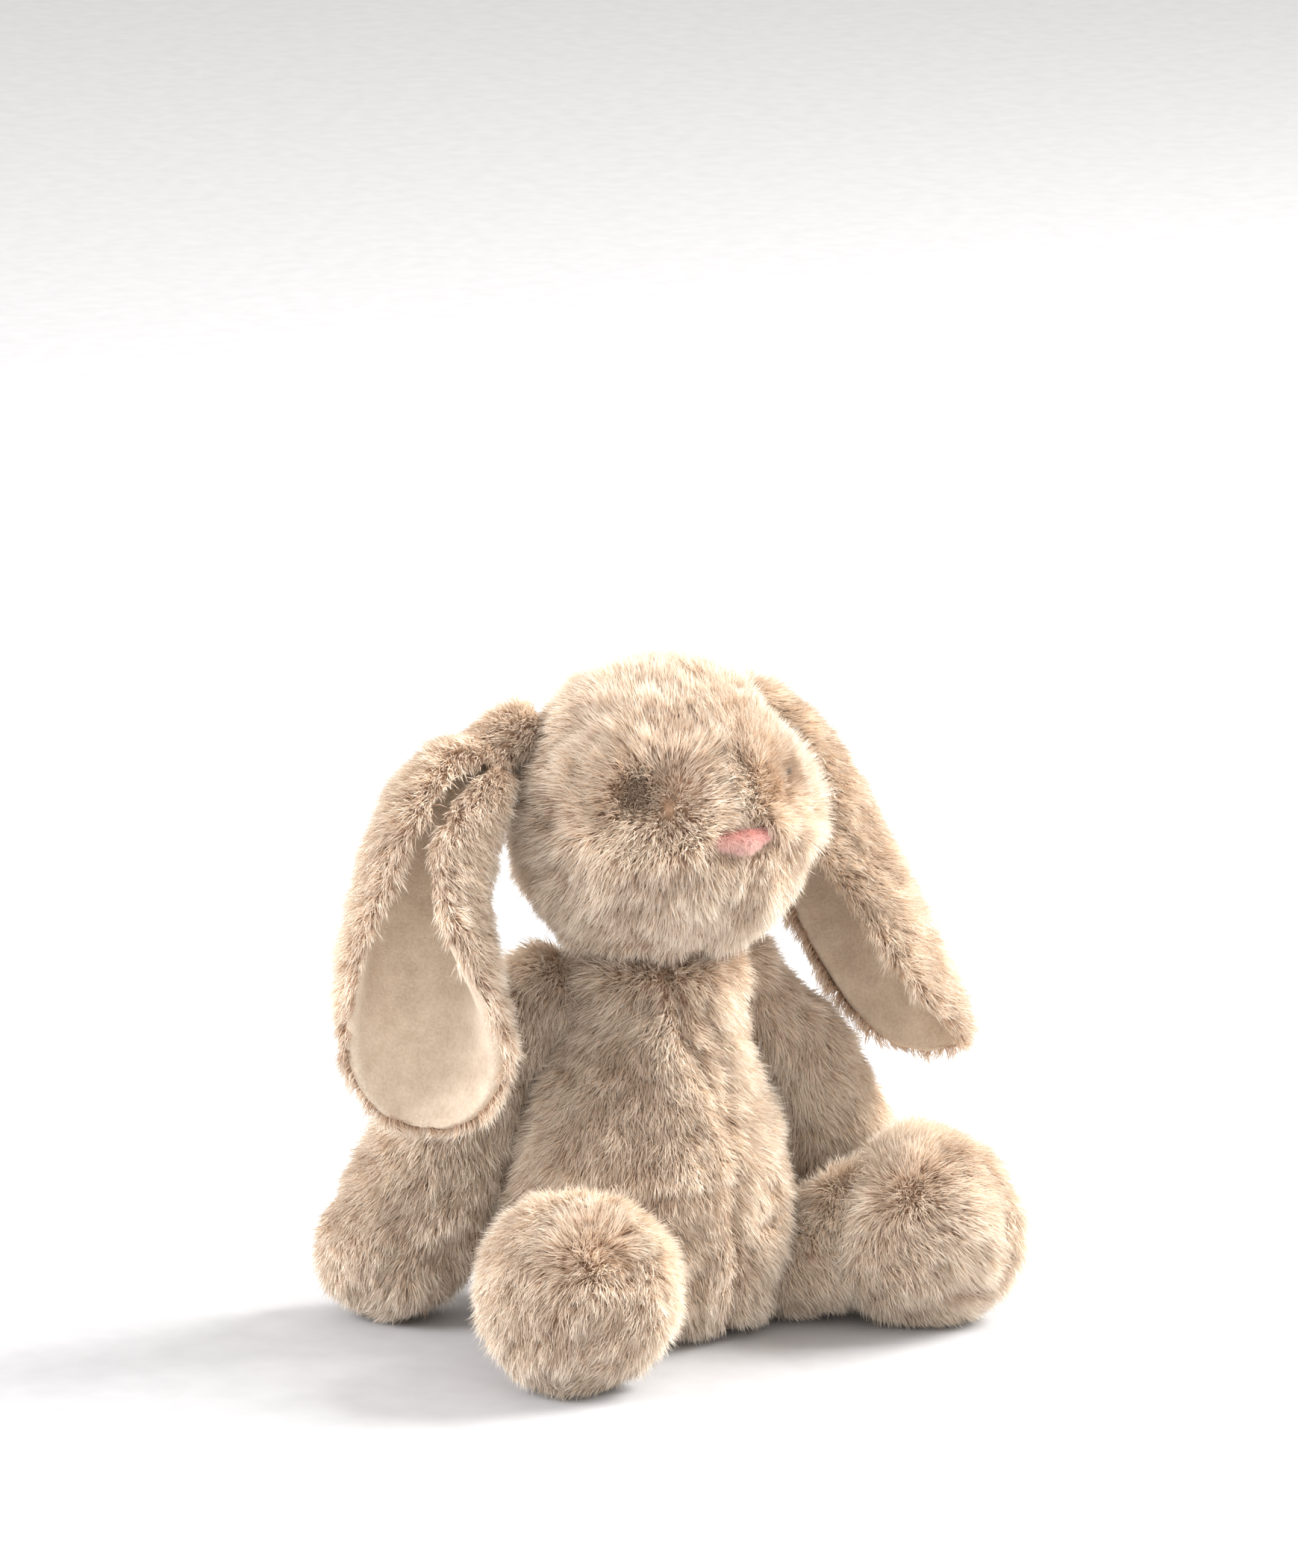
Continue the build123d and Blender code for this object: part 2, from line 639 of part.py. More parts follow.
def battery_springs():
    """Contact springs at the cells' flat ends, each drawn as its turns' outline."""
    plate_face = -PLATE_X + PLATE_THICKNESS
    springs = []
    for z in CELL_HEIGHTS:
        wide = tube_between((plate_face, CELL_Y, z), (plate_face + 2, CELL_Y, z), 4.5, 3.5)
        narrow = tube_between((plate_face + 2, CELL_Y, z), (-CELL_LENGTH / 2, CELL_Y, z), 3.8, 2.8)
        springs.append(wide + narrow)
    return Compound(springs)


def battery_plates():
    """Contact plates: one behind each spring and one at each cell's tip."""
    plates = []
    for z in CELL_HEIGHTS:
        for x in (-PLATE_X, CELL_LENGTH / 2):
            low = (x, CELL_Y - PLATE_HALF_SIZE, z - PLATE_HALF_SIZE)
            high = (x + PLATE_THICKNESS, CELL_Y + PLATE_HALF_SIZE, z + PLATE_HALF_SIZE)
            plates.append(box_between(low, high))
    return Compound(plates)


def battery_door():
    """Lid that slides down to unlatch, with a thumb rib and a hole for its screw."""
    front = BOX_REAR_Y + DOOR_GAP
    rear = front + WALL
    door = box_between((-DOOR_HALF_WIDTH, front, DOOR_BOTTOM), (DOOR_HALF_WIDTH, rear, DOOR_TOP))
    door += box_between((-10, rear, DOOR_RIB_HEIGHT - 1), (10, rear + 1, DOOR_RIB_HEIGHT + 1))
    return door - cylinder_between(
        (0, front - 1, DOOR_SCREW_HEIGHT), (0, rear + 1, DOOR_SCREW_HEIGHT), SCREW_RADIUS + 0.2
    )


def door_screw():
    """Captive screw, drawn backed out, with its head on the lid."""
    front = BOX_REAR_Y + DOOR_GAP
    rear = front + WALL
    z = DOOR_SCREW_HEIGHT
    shank = cylinder_between((0, front, z), (0, rear, z), SCREW_RADIUS)
    return shank + cylinder_between((0, rear, z), (0, rear + 1.6, z), DOOR_SCREW_HEAD_RADIUS)


def switch_body():
    left, right, bottom, top = SWITCH_BODY
    body = box_between((left, BOX_REAR_Y - 8, bottom), (right, BOX_REAR_Y - WALL, top))
    return body - box_between(
        (left + 3, BOX_REAR_Y - 6, bottom + 1.5), (right - 3, BOX_REAR_Y - 1, top - 1.5)
    )


def switch_knob():
    left, right, bottom, top = SWITCH_KNOB
    return box_between((left, BOX_REAR_Y - 5, bottom), (right, BOX_REAR_Y + 3, top))


def bean_pouch():
    """Flat bag of plastic pellets that weights the seat."""
    pouch = cylinder_between((0, 0, 5), (0, 0, 19), 39)
    return fillet(pouch.edges().filter_by(GeomType.CIRCLE), 5)


# ---- Neck and ear drive -------------------------------------------------------------------

def neck_post():
    flange = cylinder_between((0, 0, BOX_TOP), (0, 0, BOX_TOP + 3), 14)
    post = cylinder_between((0, 0, BOX_TOP), (0, 0, POST_TOP), POST_RADIUS)
    return flange + post - cylinder_between((0, 0, BOX_TOP - 1), (0, 0, POST_TOP + 1), POST_BORE)


def neck_ring():
    return tube_between((0, 0, BUSH_TOP + 1), (0, 0, BUSH_TOP + 3.5), 11, POST_RADIUS)


def neck_bush():
    tube = cylinder_between((0, 0, BUSH_BOTTOM), (0, 0, BUSH_TOP), BUSH_RADIUS)
    flange = cylinder_between((0, 0, BUSH_FLANGE_BOTTOM), (0, 0, BUSH_TOP), BUSH_FLANGE_RADIUS)
    bore = cylinder_between((0, 0, BUSH_BOTTOM - 1), (0, 0, BUSH_TOP + 1), POST_RADIUS + BUSH_CLEARANCE)
    return tube + flange - bore


def skull_frame():
    """Cup over the neck ring and a column that carries the gear housing."""
    cup = cylinder_between((0, 0, BUSH_TOP), (0, 0, 180), BUSH_FLANGE_RADIUS)
    cup -= cylinder_between((0, 0, BUSH_TOP - 1), (0, 0, 176), 13)
    column = box_between((-10, -12, 180), (10, 12, 221))
    column -= drive_envelope(HOUSING_X[0] - 0.05, HOUSING_X[2] + 0.05, 0.05)
    column -= cylinder_between((-40, *MOTOR_YZ), (0, *MOTOR_YZ), MOTOR_RADIUS + 0.1)
    return cup + column


def gear_housing_halves():
    low, split, high = HOUSING_X
    shell = drive_envelope(low, high, 0)
    shell -= drive_envelope(low + HOUSING_WALL, high - HOUSING_WALL, -HOUSING_WALL)
    shell -= cylinder_between(
        (low - 1, *EAR_SHAFT_YZ), (high + 1, *EAR_SHAFT_YZ), EAR_SHAFT_RADIUS + RUNNING_CLEARANCE
    )
    shell -= cylinder_between((low - 1, *COMPOUND_YZ), (high + 1, *COMPOUND_YZ), COMPOUND_PIN_RADIUS)
    shell -= cylinder_between((low - 1, *MOTOR_YZ), (0, *MOTOR_YZ), 3.5)
    inner = shell & box_between((low - 1, -60, 190), (split, 60, 290))
    outer = shell & box_between((split, -60, 190), (high + 1, 60, 290))
    return inner, outer


def ear_motor():
    body = cylinder_between((MOTOR_X[0], *MOTOR_YZ), (MOTOR_X[1], *MOTOR_YZ), MOTOR_RADIUS)
    boss = cylinder_between((MOTOR_X[1], *MOTOR_YZ), (-2.5, *MOTOR_YZ), 3.2)
    bore = cylinder_between((-14, *MOTOR_YZ), (0, *MOTOR_YZ), MOTOR_SHAFT_RADIUS + RUNNING_CLEARANCE)
    return body + boss - bore


# ---- Foot buttons -------------------------------------------------------------------------

def button_housing(side):
    foot, direction = foot_centre(side), leg_direction(side)
    start = foot + direction * 12
    cup = cylinder_between(start, foot + direction * 22, BUTTON_HOUSING_RADIUS)
    cup -= cylinder_between(start + direction * 2, foot + direction * 23, BUTTON_RADIUS + 0.5)
    return cup


def button_cap(side):
    foot, direction = foot_centre(side), leg_direction(side)
    return cylinder_between(foot + direction * 17, foot + direction * 25, BUTTON_RADIUS)


# ---- The whole toy ------------------------------------------------------------------------

def build_pieces():
    shaft_gear, compound_gear, motor_pinion = ear_drive_gears()
    housing_inner, housing_outer = gear_housing_halves()
    pieces = {
        "torso_plush": torso_plush(),
        "bean_pouch": bean_pouch(),
        "tail_plush": ball(TAIL_CENTRE, TAIL_RADIUS) - torso_of_revolution(0.1),
        "sound_box_front": sound_box_front(),
        "sound_box_rear": sound_box_rear(),
        "case_screws": case_screws(),
        "speaker_frame": speaker(),
        "speaker_magnet": speaker_magnet(),
        "circuit_board": circuit_board(),
        "board_parts": board_parts(),
        "batteries": batteries(),
        "battery_springs": battery_springs(),
        "battery_plates": battery_plates(),
        "battery_door": battery_door(),
        "battery_door_screw": door_screw(),
        "power_switch_body": switch_body(),
        "power_switch_knob": switch_knob(),
        "back_flap": flap_shell(
            0, -FLAP_THICKNESS, OPENING_HALF_WIDTH - FLAP_SIDE_GAP,
            OPENING_BOTTOM + FLAP_BOTTOM_GAP, OPENING_TOP - FLAP_SIDE_GAP,
        ),
        "flap_fastener": flap_shell(
            -FLAP_THICKNESS, -FLAP_THICKNESS - 1.5, 18,
            OPENING_BOTTOM + 4, OPENING_BOTTOM + 14,
        ),
        "neck_post": neck_post(),
        "neck_ring": neck_ring(),
        "neck_bush": neck_bush(),
        "head_plush": head_plush(),
        "nose": nose_shape(),
        "skull_frame": skull_frame(),
        "gear_housing_inner": housing_inner,
        "gear_housing_outer": housing_outer,
        "ear_motor": ear_motor(),
        "compound_pin": cylinder_between(
            (HOUSING_X[0], *COMPOUND_YZ), (HOUSING_X[2], *COMPOUND_YZ), COMPOUND_PIN_RADIUS
        ),
        "compound_gear": compound_gear,
        "motor_pinion": motor_pinion,
        "motor_shaft": cylinder_between(
            (-13, *MOTOR_YZ), (MOTOR_PINION_X[1], *MOTOR_YZ), MOTOR_SHAFT_RADIUS
        ),
        "ear_shaft": cylinder_between(
            (-EAR_SHAFT_HALF_LENGTH, *EAR_SHAFT_YZ), (EAR_SHAFT_HALF_LENGTH, *EAR_SHAFT_YZ),
            EAR_SHAFT_RADIUS,
        ),
        "ear_shaft_gear": shaft_gear,
    }
    for side in ("right", "left"):
        pieces[f"eye_{side}"] = eye_shape(side)
        pieces[f"ear_plush_{side}"] = ear_plush(side)
        pieces[f"ear_lining_{side}"] = ear_lining(side)
        pieces[f"ear_armature_{side}"] = ear_armature(side)
        pieces[f"arm_plush_{side}"] = arm_plush(side)
        pieces[f"leg_plush_{side}"] = leg_plush(side)
        pieces[f"foot_button_housing_{side}"] = button_housing(side)
        pieces[f"foot_button_{side}"] = button_cap(side)
    return pieces


def main():
    os.makedirs("parts", exist_ok=True)
    for name, piece in build_pieces().items():
        export_step(piece, f"parts/{name}.step")


if __name__ == "__main__":
    main()
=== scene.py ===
"""Looks of the sitting plush rabbit: sewn skins, combed fur, velour ears, face and sound box."""

import json
import math

import bpy
import numpy as np
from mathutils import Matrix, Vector


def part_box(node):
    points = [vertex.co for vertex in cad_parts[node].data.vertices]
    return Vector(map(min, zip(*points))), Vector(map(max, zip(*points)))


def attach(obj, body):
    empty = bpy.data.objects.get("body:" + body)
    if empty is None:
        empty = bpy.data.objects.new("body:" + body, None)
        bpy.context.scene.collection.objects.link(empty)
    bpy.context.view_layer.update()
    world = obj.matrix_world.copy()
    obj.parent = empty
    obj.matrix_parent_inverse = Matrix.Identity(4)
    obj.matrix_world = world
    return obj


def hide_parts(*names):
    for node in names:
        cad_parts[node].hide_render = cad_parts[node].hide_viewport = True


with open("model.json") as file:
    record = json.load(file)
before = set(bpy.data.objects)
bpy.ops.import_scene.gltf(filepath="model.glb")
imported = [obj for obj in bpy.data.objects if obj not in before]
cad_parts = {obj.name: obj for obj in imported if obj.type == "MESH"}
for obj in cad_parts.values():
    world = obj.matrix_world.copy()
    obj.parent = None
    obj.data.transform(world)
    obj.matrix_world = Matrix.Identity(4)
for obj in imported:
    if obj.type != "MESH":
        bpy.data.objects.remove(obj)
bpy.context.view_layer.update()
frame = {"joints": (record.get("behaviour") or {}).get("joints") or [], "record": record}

MM = 0.001
SEED = 20
SIDES = ("right", "left")

# ---- Fur settings, millimetres and degrees ----

PILE = 11.0
SKIN_DEPTH = 4.0
STRAND_WIDTH = 0.4
STRANDS_PER_TUFT = 24
TUFT_RADIUS = 2.3
TUFT_AREA = 5.0
ROOT_DEPTH = 0.6
LEAN = 48.0
FLOOR_CLEARANCE = 0.25
GOLDEN_STEP = 0.618034

# How much a tuft that stands proud of its neighbours is raised, lengthened and straightened up,
# and how much painted light lightens it, as if its tips caught the light over shaded hollows.
PROUD_RISE = 1.1
PROUD_LENGTH = 0.32
PROUD_LEAN = 24.0
PROUD_PAINTED_LIGHT = 0.36

# Spread from strand to strand: shares of the length and width, how far strands gather towards
# their tuft's middle, and how far they stray from its heading.
STRAND_LENGTHS = (0.62, 1.08)
STRAND_WIDTHS = (0.7, 1.25)
GATHER = (0.25, 0.75)
STRAY = 0.16
MEAN_TONE = 0.54
TONE_SPREAD = 0.09

# Each strand is a quad from root to middle and a triangle from middle to tip.
STRAND_POINTS = 5
STRAND_LOOPS = 7
QUAD_LOOPS = 4
MAP_WIDTH = 0.004

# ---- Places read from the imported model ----


def node_box(node):
    """A node's lowest and highest corners in millimetres."""
    low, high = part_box(node)
    return np.array(low) / MM, np.array(high) / MM


def joint_pivot(name):
    """A joint's position in millimetres."""
    for joint in frame["joints"]:
        if joint["name"] == name:
            return np.array(joint["pos_m"]) / MM
    raise KeyError(name)


def side_sign(side):
    return -1.0 if side == "right" else 1.0


head_low, head_high = node_box("head_plush")
HEAD_RADIUS = (head_high[0] - head_low[0]) / 2
HEAD_CENTRE = np.array([0.0, 0.0, head_high[2] - HEAD_RADIUS])
EAR_PIVOT = joint_pivot("ear_swing")
FOOT_RADIUS = node_box("leg_plush_right")[1][2] / 2


def foot_centre(side):
    low, high = node_box(f"leg_plush_{side}")
    x = low[0] + FOOT_RADIUS if side == "right" else high[0] - FOOT_RADIUS
    return np.array([x, low[1] + FOOT_RADIUS, FOOT_RADIUS])


def leg_direction(side):
    out = foot_centre(side) * [1, 1, 0]
    return out / np.linalg.norm(out)


# ---- Vector and noise helpers ----

def unit(vectors):
    length = np.linalg.norm(vectors, axis=-1, keepdims=True)
    return vectors / np.maximum(length, 1e-9)


def smoothstep(low, high, values):
    t = np.clip((values - low) / (high - low), 0, 1)
    return t * t * (3 - 2 * t)


def bell(distance, width):
    """1 at no distance, falling to 0 over about twice the width."""
    return np.exp(-0.5 * (distance / width) ** 2)


def bump(points, centre, width):
    """1 at the centre, falling to 0 over about twice the width."""
    return bell(np.linalg.norm(points - np.asarray(centre, float), axis=-1), width)


def lattice_value(cells, seed):
    """Repeatable number from -1 to 1 for each whole-number cell."""
    mixed = cells[..., 0] * 374761393 + cells[..., 1] * 668265263 + cells[..., 2] * 2147483647
    mixed = (mixed + seed * 974634777) & 0xFFFFFFFF
    mixed = ((mixed ^ (mixed >> 13)) * 1274126177) & 0xFFFFFFFF
    mixed = mixed ^ (mixed >> 16)
    return (mixed & 0xFFFF) / 32767.5 - 1.0


def noise(points, cell, seed):
    """Smooth value noise from -1 to 1, with features about one cell across."""
    scaled = points / cell
    base = np.floor(scaled).astype(np.int64)
    part = scaled - base
    part = part * part * (3 - 2 * part)
    total = np.zeros(len(points))
    for corner in range(8):
        offset = np.array([corner & 1, (corner >> 1) & 1, (corner >> 2) & 1])
        weight = np.prod(np.where(offset == 1, part, 1 - part), axis=1)
        total += weight * lattice_value(base + offset, seed)
    return total


# ---- Meshes ----

THINNEST = 0.3
SKIN_CLEARANCE = 1.0


class Skin:
    """A quad mesh in millimetres with outward normals, that fur can grow on."""

    def __init__(self, points, quads):
        self.points = points
        self.quads = quads
        corners = points[quads]
        face_normals = np.cross(corners[:, 2] - corners[:, 0], corners[:, 3] - corners[:, 1])
        normals = np.zeros_like(points)
        for i in range(4):
            np.add.at(normals, quads[:, i], face_normals)
        self.normals = unit(normals)
        self.areas = np.linalg.norm(face_normals, axis=1) / 2

    def keep(self, wanted):
        """The same skin with only the quads whose middle point is wanted."""
        middles = self.points[self.quads].mean(axis=1)
        return Skin(self.points, self.quads[wanted(middles)])


def grid_quads(rows, columns, closed):
    """Quads between rows of points, where each row closes round or stays open."""
    quads = []
    for row in range(rows - 1):
        here, there = row * columns, (row + 1) * columns
        for column in range(columns if closed else columns - 1):
            after = (column + 1) % columns
            quads.append((here + column, here + after, there + after, there + column))
    return np.array(quads)


def lathe_skin(profile_points, columns):
    """Skin round the Z axis from (radius, height) pairs, lowest first."""
    angles = np.linspace(0, 2 * np.pi, columns, endpoint=False)
    rows = []
    for radius, height in profile_points:
        ring = np.stack([radius * np.cos(angles), radius * np.sin(angles), np.full(columns, height)], 1)
        rows.append(ring)
    return Skin(np.concatenate(rows), grid_quads(len(rows), columns, closed=True))


def ball_skin(centre, radii, rows, columns):
    """Squashed ball, as a lathe from bottom to top."""
    rises = np.linspace(-np.pi / 2 + 0.01, np.pi / 2 - 0.01, rows)
    skin = lathe_skin([(math.cos(rise), math.sin(rise)) for rise in rises], columns)
    return Skin(skin.points * np.asarray(radii, float) + centre, skin.quads)


def spline_through(values, count):
    """Catmull-Rom rows through the stated rows, count of them."""
    values = np.asarray(values, float)
    padded = np.concatenate([2 * values[:1] - values[1:2], values, 2 * values[-1:] - values[-2:-1]])
    places = np.linspace(0, len(values) - 1 - 1e-9, count)
    first = places.astype(int)
    t = (places - first)[:, None]
    a, b, c, d = (padded[first + i] for i in range(4))
    return 0.5 * (2 * b + (c - a) * t + (2 * a - 5 * b + 4 * c - d) * t**2 + (3 * b - a - 3 * c + d) * t**3)


def limb_skin(stations, wide_direction, rows=70, columns=64):
    """Sleeve along (x, y, z, half width, half thickness) stations."""
    path = spline_through(stations, rows)
    centres, half_wide, half_thick = path[:, :3], path[:, 3], path[:, 4]
    along = unit(np.gradient(centres, axis=0))
    wide = unit(wide_direction - along * (along @ wide_direction)[:, None])
    thick = np.cross(along, wide)
    angles = np.linspace(0, 2 * np.pi, columns, endpoint=False)
    rows_of_points = []
    for i in range(rows):
        offset = (
            np.outer(np.cos(angles), wide[i]) * max(half_wide[i], THINNEST)
            + np.outer(np.sin(angles), thick[i]) * max(half_thick[i], THINNEST)
        )
        rows_of_points.append(centres[i] + offset)
    return Skin(np.concatenate(rows_of_points), grid_quads(rows, columns, closed=True))


def rounded_end(stations, end_centre, direction, radius, steps=7):
    """Adds stations that close a limb with a ball end."""
    closed = list(stations)
    for i in range(1, steps + 1):
        turn = math.pi / 2 * i / steps
        spot = end_centre + direction * radius * math.sin(turn)
        closed.append((*spot, radius * math.cos(turn), radius * math.cos(turn)))
    return closed


def roughened(skin, height, cell, seed):
    """A limb's skin with low lumps, kept off the floor."""
    points = skin.points + skin.normals * (height * noise(skin.points, cell, seed))[:, None]
    points[:, 2] = np.maximum(points[:, 2], SKIN_CLEARANCE)
    return Skin(points, skin.quads)


def add_object(name, data):
    """New scene object that shows a mesh, light or camera."""
    obj = bpy.data.objects.new(name, data)
    bpy.context.scene.collection.objects.link(obj)
    return obj


def cloth_object(name, skin, material, body):
    """New smooth object from a skin, riding on a body."""
    mesh = bpy.data.meshes.new(name)
    mesh.from_pydata((skin.points * MM).tolist(), [], skin.quads.tolist())
    mesh.materials.append(material)
    mesh.shade_smooth()
    piece = add_object(name, mesh)
    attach(piece, body)
    return piece


def stuffed_object(name, skin, material, body, node):
    """Cloth object that stands for a soft CAD node."""
    piece = cloth_object(name, skin, material, body)
    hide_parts(node)
    return piece


# ---- Fur ----

def constant(value):
    """Field with one value everywhere."""
    return lambda points: np.full(len(points), float(value))


def one_way(*direction):
    """Comb with one direction everywhere."""
    return lambda points, normals: np.tile(direction, (len(points), 1))


class Coat:
    """How fur grows: its comb directions, and how its length, lean and shade vary."""

    def __init__(self, comb, length=constant(1), lean=constant(LEAN), shade=constant(0), wander=40.0):
        self.comb = comb
        self.length = length
        self.lean = lean
        self.shade = shade
        self.wander = wander


def sample_skin(skin, count, rng):
    """Points spread evenly by area over a skin, with their normals."""
    reach = np.cumsum(skin.areas)
    steps = (np.arange(count) + rng.random(count)) / count * reach[-1]
    chosen = np.minimum(np.searchsorted(reach, steps), len(skin.quads) - 1)
    corners = skin.quads[chosen]
    u = (steps - reach[chosen] + skin.areas[chosen]) / skin.areas[chosen]
    v = (np.arange(count) * GOLDEN_STEP + 0.3 * rng.random(count)) % 1.0
    weights = np.stack([(1 - u) * (1 - v), u * (1 - v), u * v, (1 - u) * v], axis=1)
    points = np.einsum("ij,ijk->ik", weights, skin.points[corners])
    normals = unit(np.einsum("ij,ijk->ik", weights, skin.normals[corners]))
    return points, normals


def rotate_about(vectors, axes, angles):
    cos, sin = np.cos(angles)[:, None], np.sin(angles)[:, None]
    return vectors * cos + np.cross(axes, vectors) * sin


def strand_mesh(name, points, tone, material):
    """Mesh of flat strands, mapped across by tone and along from root to tip."""
    count = len(tone)
    mesh = bpy.data.meshes.new(name)
    mesh.vertices.add(count * STRAND_POINTS)
    mesh.vertices.foreach_set("co", (points * MM).astype(np.float32).ravel())
    first = np.arange(count) * STRAND_POINTS
    loops = np.stack([first, first + 1, first + 2, first + 3, first + 3, first + 2, first + 4], axis=1)
    mesh.loops.add(count * STRAND_LOOPS)
    mesh.loops.foreach_set("vertex_index", loops.astype(np.int32).ravel())
    mesh.polygons.add(count * 2)
    quad_starts = np.arange(count) * STRAND_LOOPS
    starts = np.stack([quad_starts, quad_starts + QUAD_LOOPS], axis=1)
    mesh.polygons.foreach_set("loop_start", starts.astype(np.int32).ravel())

    left, right = tone - MAP_WIDTH, tone + MAP_WIDTH
    zero, half_way, one = np.zeros(count), np.full(count, 0.5), np.ones(count)
    across_map = np.stack([left, right, right, left, left, right, tone], axis=1)
    along_map = np.stack([zero, zero, half_way, half_way, half_way, half_way, one], axis=1)
    uv = mesh.uv_layers.new(name="OFBake")
    uv.data.foreach_set("uv", np.stack([across_map, along_map], axis=2).astype(np.float32).ravel())
    mesh.update(calc_edges=True)
    mesh.materials.append(material)
    mesh.shade_smooth()
    return mesh


def comb_tufts(skin, coat, pile, density, seed, rng):
    """Each tuft's centre, normal, comb direction, length, lean and tone."""
    count = max(int(skin.areas.sum() / TUFT_AREA * density), 4)
    centres, normals = sample_skin(skin, count, rng)
    comb = coat.comb(centres, normals)
    comb = unit(comb - normals * np.sum(comb * normals, axis=1, keepdims=True))
    swirl = noise(centres, 26, seed) + 0.7 * noise(centres, 11, seed + 7) + 0.7 * noise(centres, 5, seed + 8)
    comb = rotate_about(comb, normals, np.radians(coat.wander) * swirl)
    proud = 0.5 * noise(centres, 17, seed + 3) + 0.5 * noise(centres, 7, seed + 4)
    centres = centres + normals * (PROUD_RISE * pile / PILE * proud)[:, None]
    length = pile * coat.length(centres) * (1 + PROUD_LENGTH * proud + rng.normal(0, 0.06, count))
    lean = coat.lean(centres) - PROUD_LEAN * proud + 9 * noise(centres, 14, seed + 5)
    lean = lean + rng.normal(0, 5, count)
    # Painted light: proud tufts are lighter, as if their tips caught the light.
    tone = MEAN_TONE + PROUD_PAINTED_LIGHT * proud
    tone = tone + 0.24 * noise(centres, 5, seed + 9) + 0.14 * noise(centres, 30, seed + 11)
    tone = tone + coat.shade(centres) + rng.normal(0, TONE_SPREAD, count)
    return centres, normals, comb, length, lean, tone


def fur_object(
    name, skin, coat, body, material, seed, pile=PILE, density=1.0, width=STRAND_WIDTH
):
    """Combed tufts of tapered flat strands, as one piece with a root-to-tip colour map."""
    rng = np.random.default_rng(SEED + seed)
    tufts = comb_tufts(skin, coat, pile, density, seed, rng)
    centre, normal, direction, length, lean, tone = (
        np.repeat(values, STRANDS_PER_TUFT, axis=0) for values in tufts
    )
    count = len(centre)
    across = np.cross(normal, direction)
    spread = TUFT_RADIUS * np.sqrt(rng.random(count))
    turn = rng.random(count) * 2 * np.pi
    offset = direction * (spread * np.cos(turn))[:, None] + across * (spread * np.sin(turn))[:, None]
    half_length = (length * rng.uniform(*STRAND_LENGTHS, count) * 0.5)[:, None]
    lean = np.radians(lean + rng.normal(0, 9, count))
    stray = rng.normal(0, STRAY, (count, 3))
    gather = rng.uniform(*GATHER, count)[:, None]

    def heading(angle):
        return unit(normal * np.cos(angle)[:, None] + direction * np.sin(angle)[:, None] + stray)

    low_part, high_part = heading(lean * 0.55), heading(lean * 1.25)
    root = centre + offset - normal * ROOT_DEPTH
    middle = root + low_part * half_length - offset * gather * 0.45
    tip = middle + high_part * half_length - offset * gather * 0.5

    side = unit(np.cross(high_part, rng.normal(0, 1, (count, 3))))
    half = side * (width / 2 * rng.uniform(*STRAND_WIDTHS, count))[:, None]
    points = np.stack(
        [root - half, root + half, middle + half * 0.85, middle - half * 0.85, tip], axis=1
    ).reshape(-1, 3)
    points[:, 2] = np.maximum(points[:, 2], FLOOR_CLEARANCE)
    tone = np.clip(tone + rng.normal(0, TONE_SPREAD, count), 0.02, 0.98)

    piece = add_object(name, strand_mesh(name, points, tone, material))
    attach(piece, body)
    return piece


def fur_panels(prefix, front_name, skin, coat, body, fur, front_y, split_height, first_seed):
    """Six panels of fur, so that no mesh grows too large: four in front and two behind."""
    middles = skin.points[skin.quads].mean(axis=1)
    right, front, low = middles[:, 0] < 0, middles[:, 1] < front_y, middles[:, 2] < split_height
    for place, wanted, step in (
        (f"{front_name}_right_low", front & right & low, 0),
        (f"{front_name}_right_high", front & right & ~low, 4),
        (f"{front_name}_left_low", front & ~right & low, 1),
        (f"{front_name}_left_high", front & ~right & ~low, 5),
        ("back_right", ~front & right, 2),
        ("back_left", ~front & ~right, 3),
    ):
        panel = Skin(skin.points, skin.quads[wanted])
        fur_object(f"{prefix}_fur_{place}", panel, coat, body, fur, first_seed + step)


# ---- Materials ----

def new_material(name, roughness, specular, sheen=0.0, sheen_tint=(1, 1, 1), metallic=0.0):
    """Principled material, its node tree and its shader, with constants on the shader's sockets."""
    material = bpy.data.materials.new(name)
    material.use_nodes = True
    shader = material.node_tree.nodes["Principled BSDF"]
    for socket, value in (
        ("Roughness", roughness), ("Specular IOR Level", specular), ("Metallic", metallic),
        ("Sheen Weight", sheen), ("Sheen Roughness", 0.45), ("Sheen Tint", (*sheen_tint, 1)),
    ):
        shader.inputs[socket].default_value = value
    return material, material.node_tree, shader


def srgb(red, green, blue):
    """Linear colour from display values of 0 to 255."""
    def linear(value):
        value /= 255
        return value / 12.92 if value <= 0.04045 else ((value + 0.055) / 1.055) ** 2.4
    return tuple(linear(value) for value in (red, green, blue))


def ramp(tree, factor, stops):
    """Colour from a factor, through (place, colour) stops."""
    node = tree.nodes.new("ShaderNodeValToRGB")
    elements = node.color_ramp.elements
    while len(elements) < len(stops):
        elements.new(0.5)
    for element, (place, colour) in zip(elements, stops):
        element.position = place
        element.color = (*colour, 1)
    tree.links.new(factor, node.inputs["Fac"])
    return node.outputs["Color"]


def mix_colour(tree, factor, first, second, blend):
    """Two linked colours mixed by a fixed factor."""
    node = tree.nodes.new("ShaderNodeMix")
    node.data_type = "RGBA"
    node.blend_type = blend
    sockets = {socket.name: socket for socket in node.inputs if socket.enabled}
    sockets["Factor"].default_value = factor
    tree.links.new(first, sockets["A"])
    tree.links.new(second, sockets["B"])
    return [socket for socket in node.outputs if socket.enabled][0]


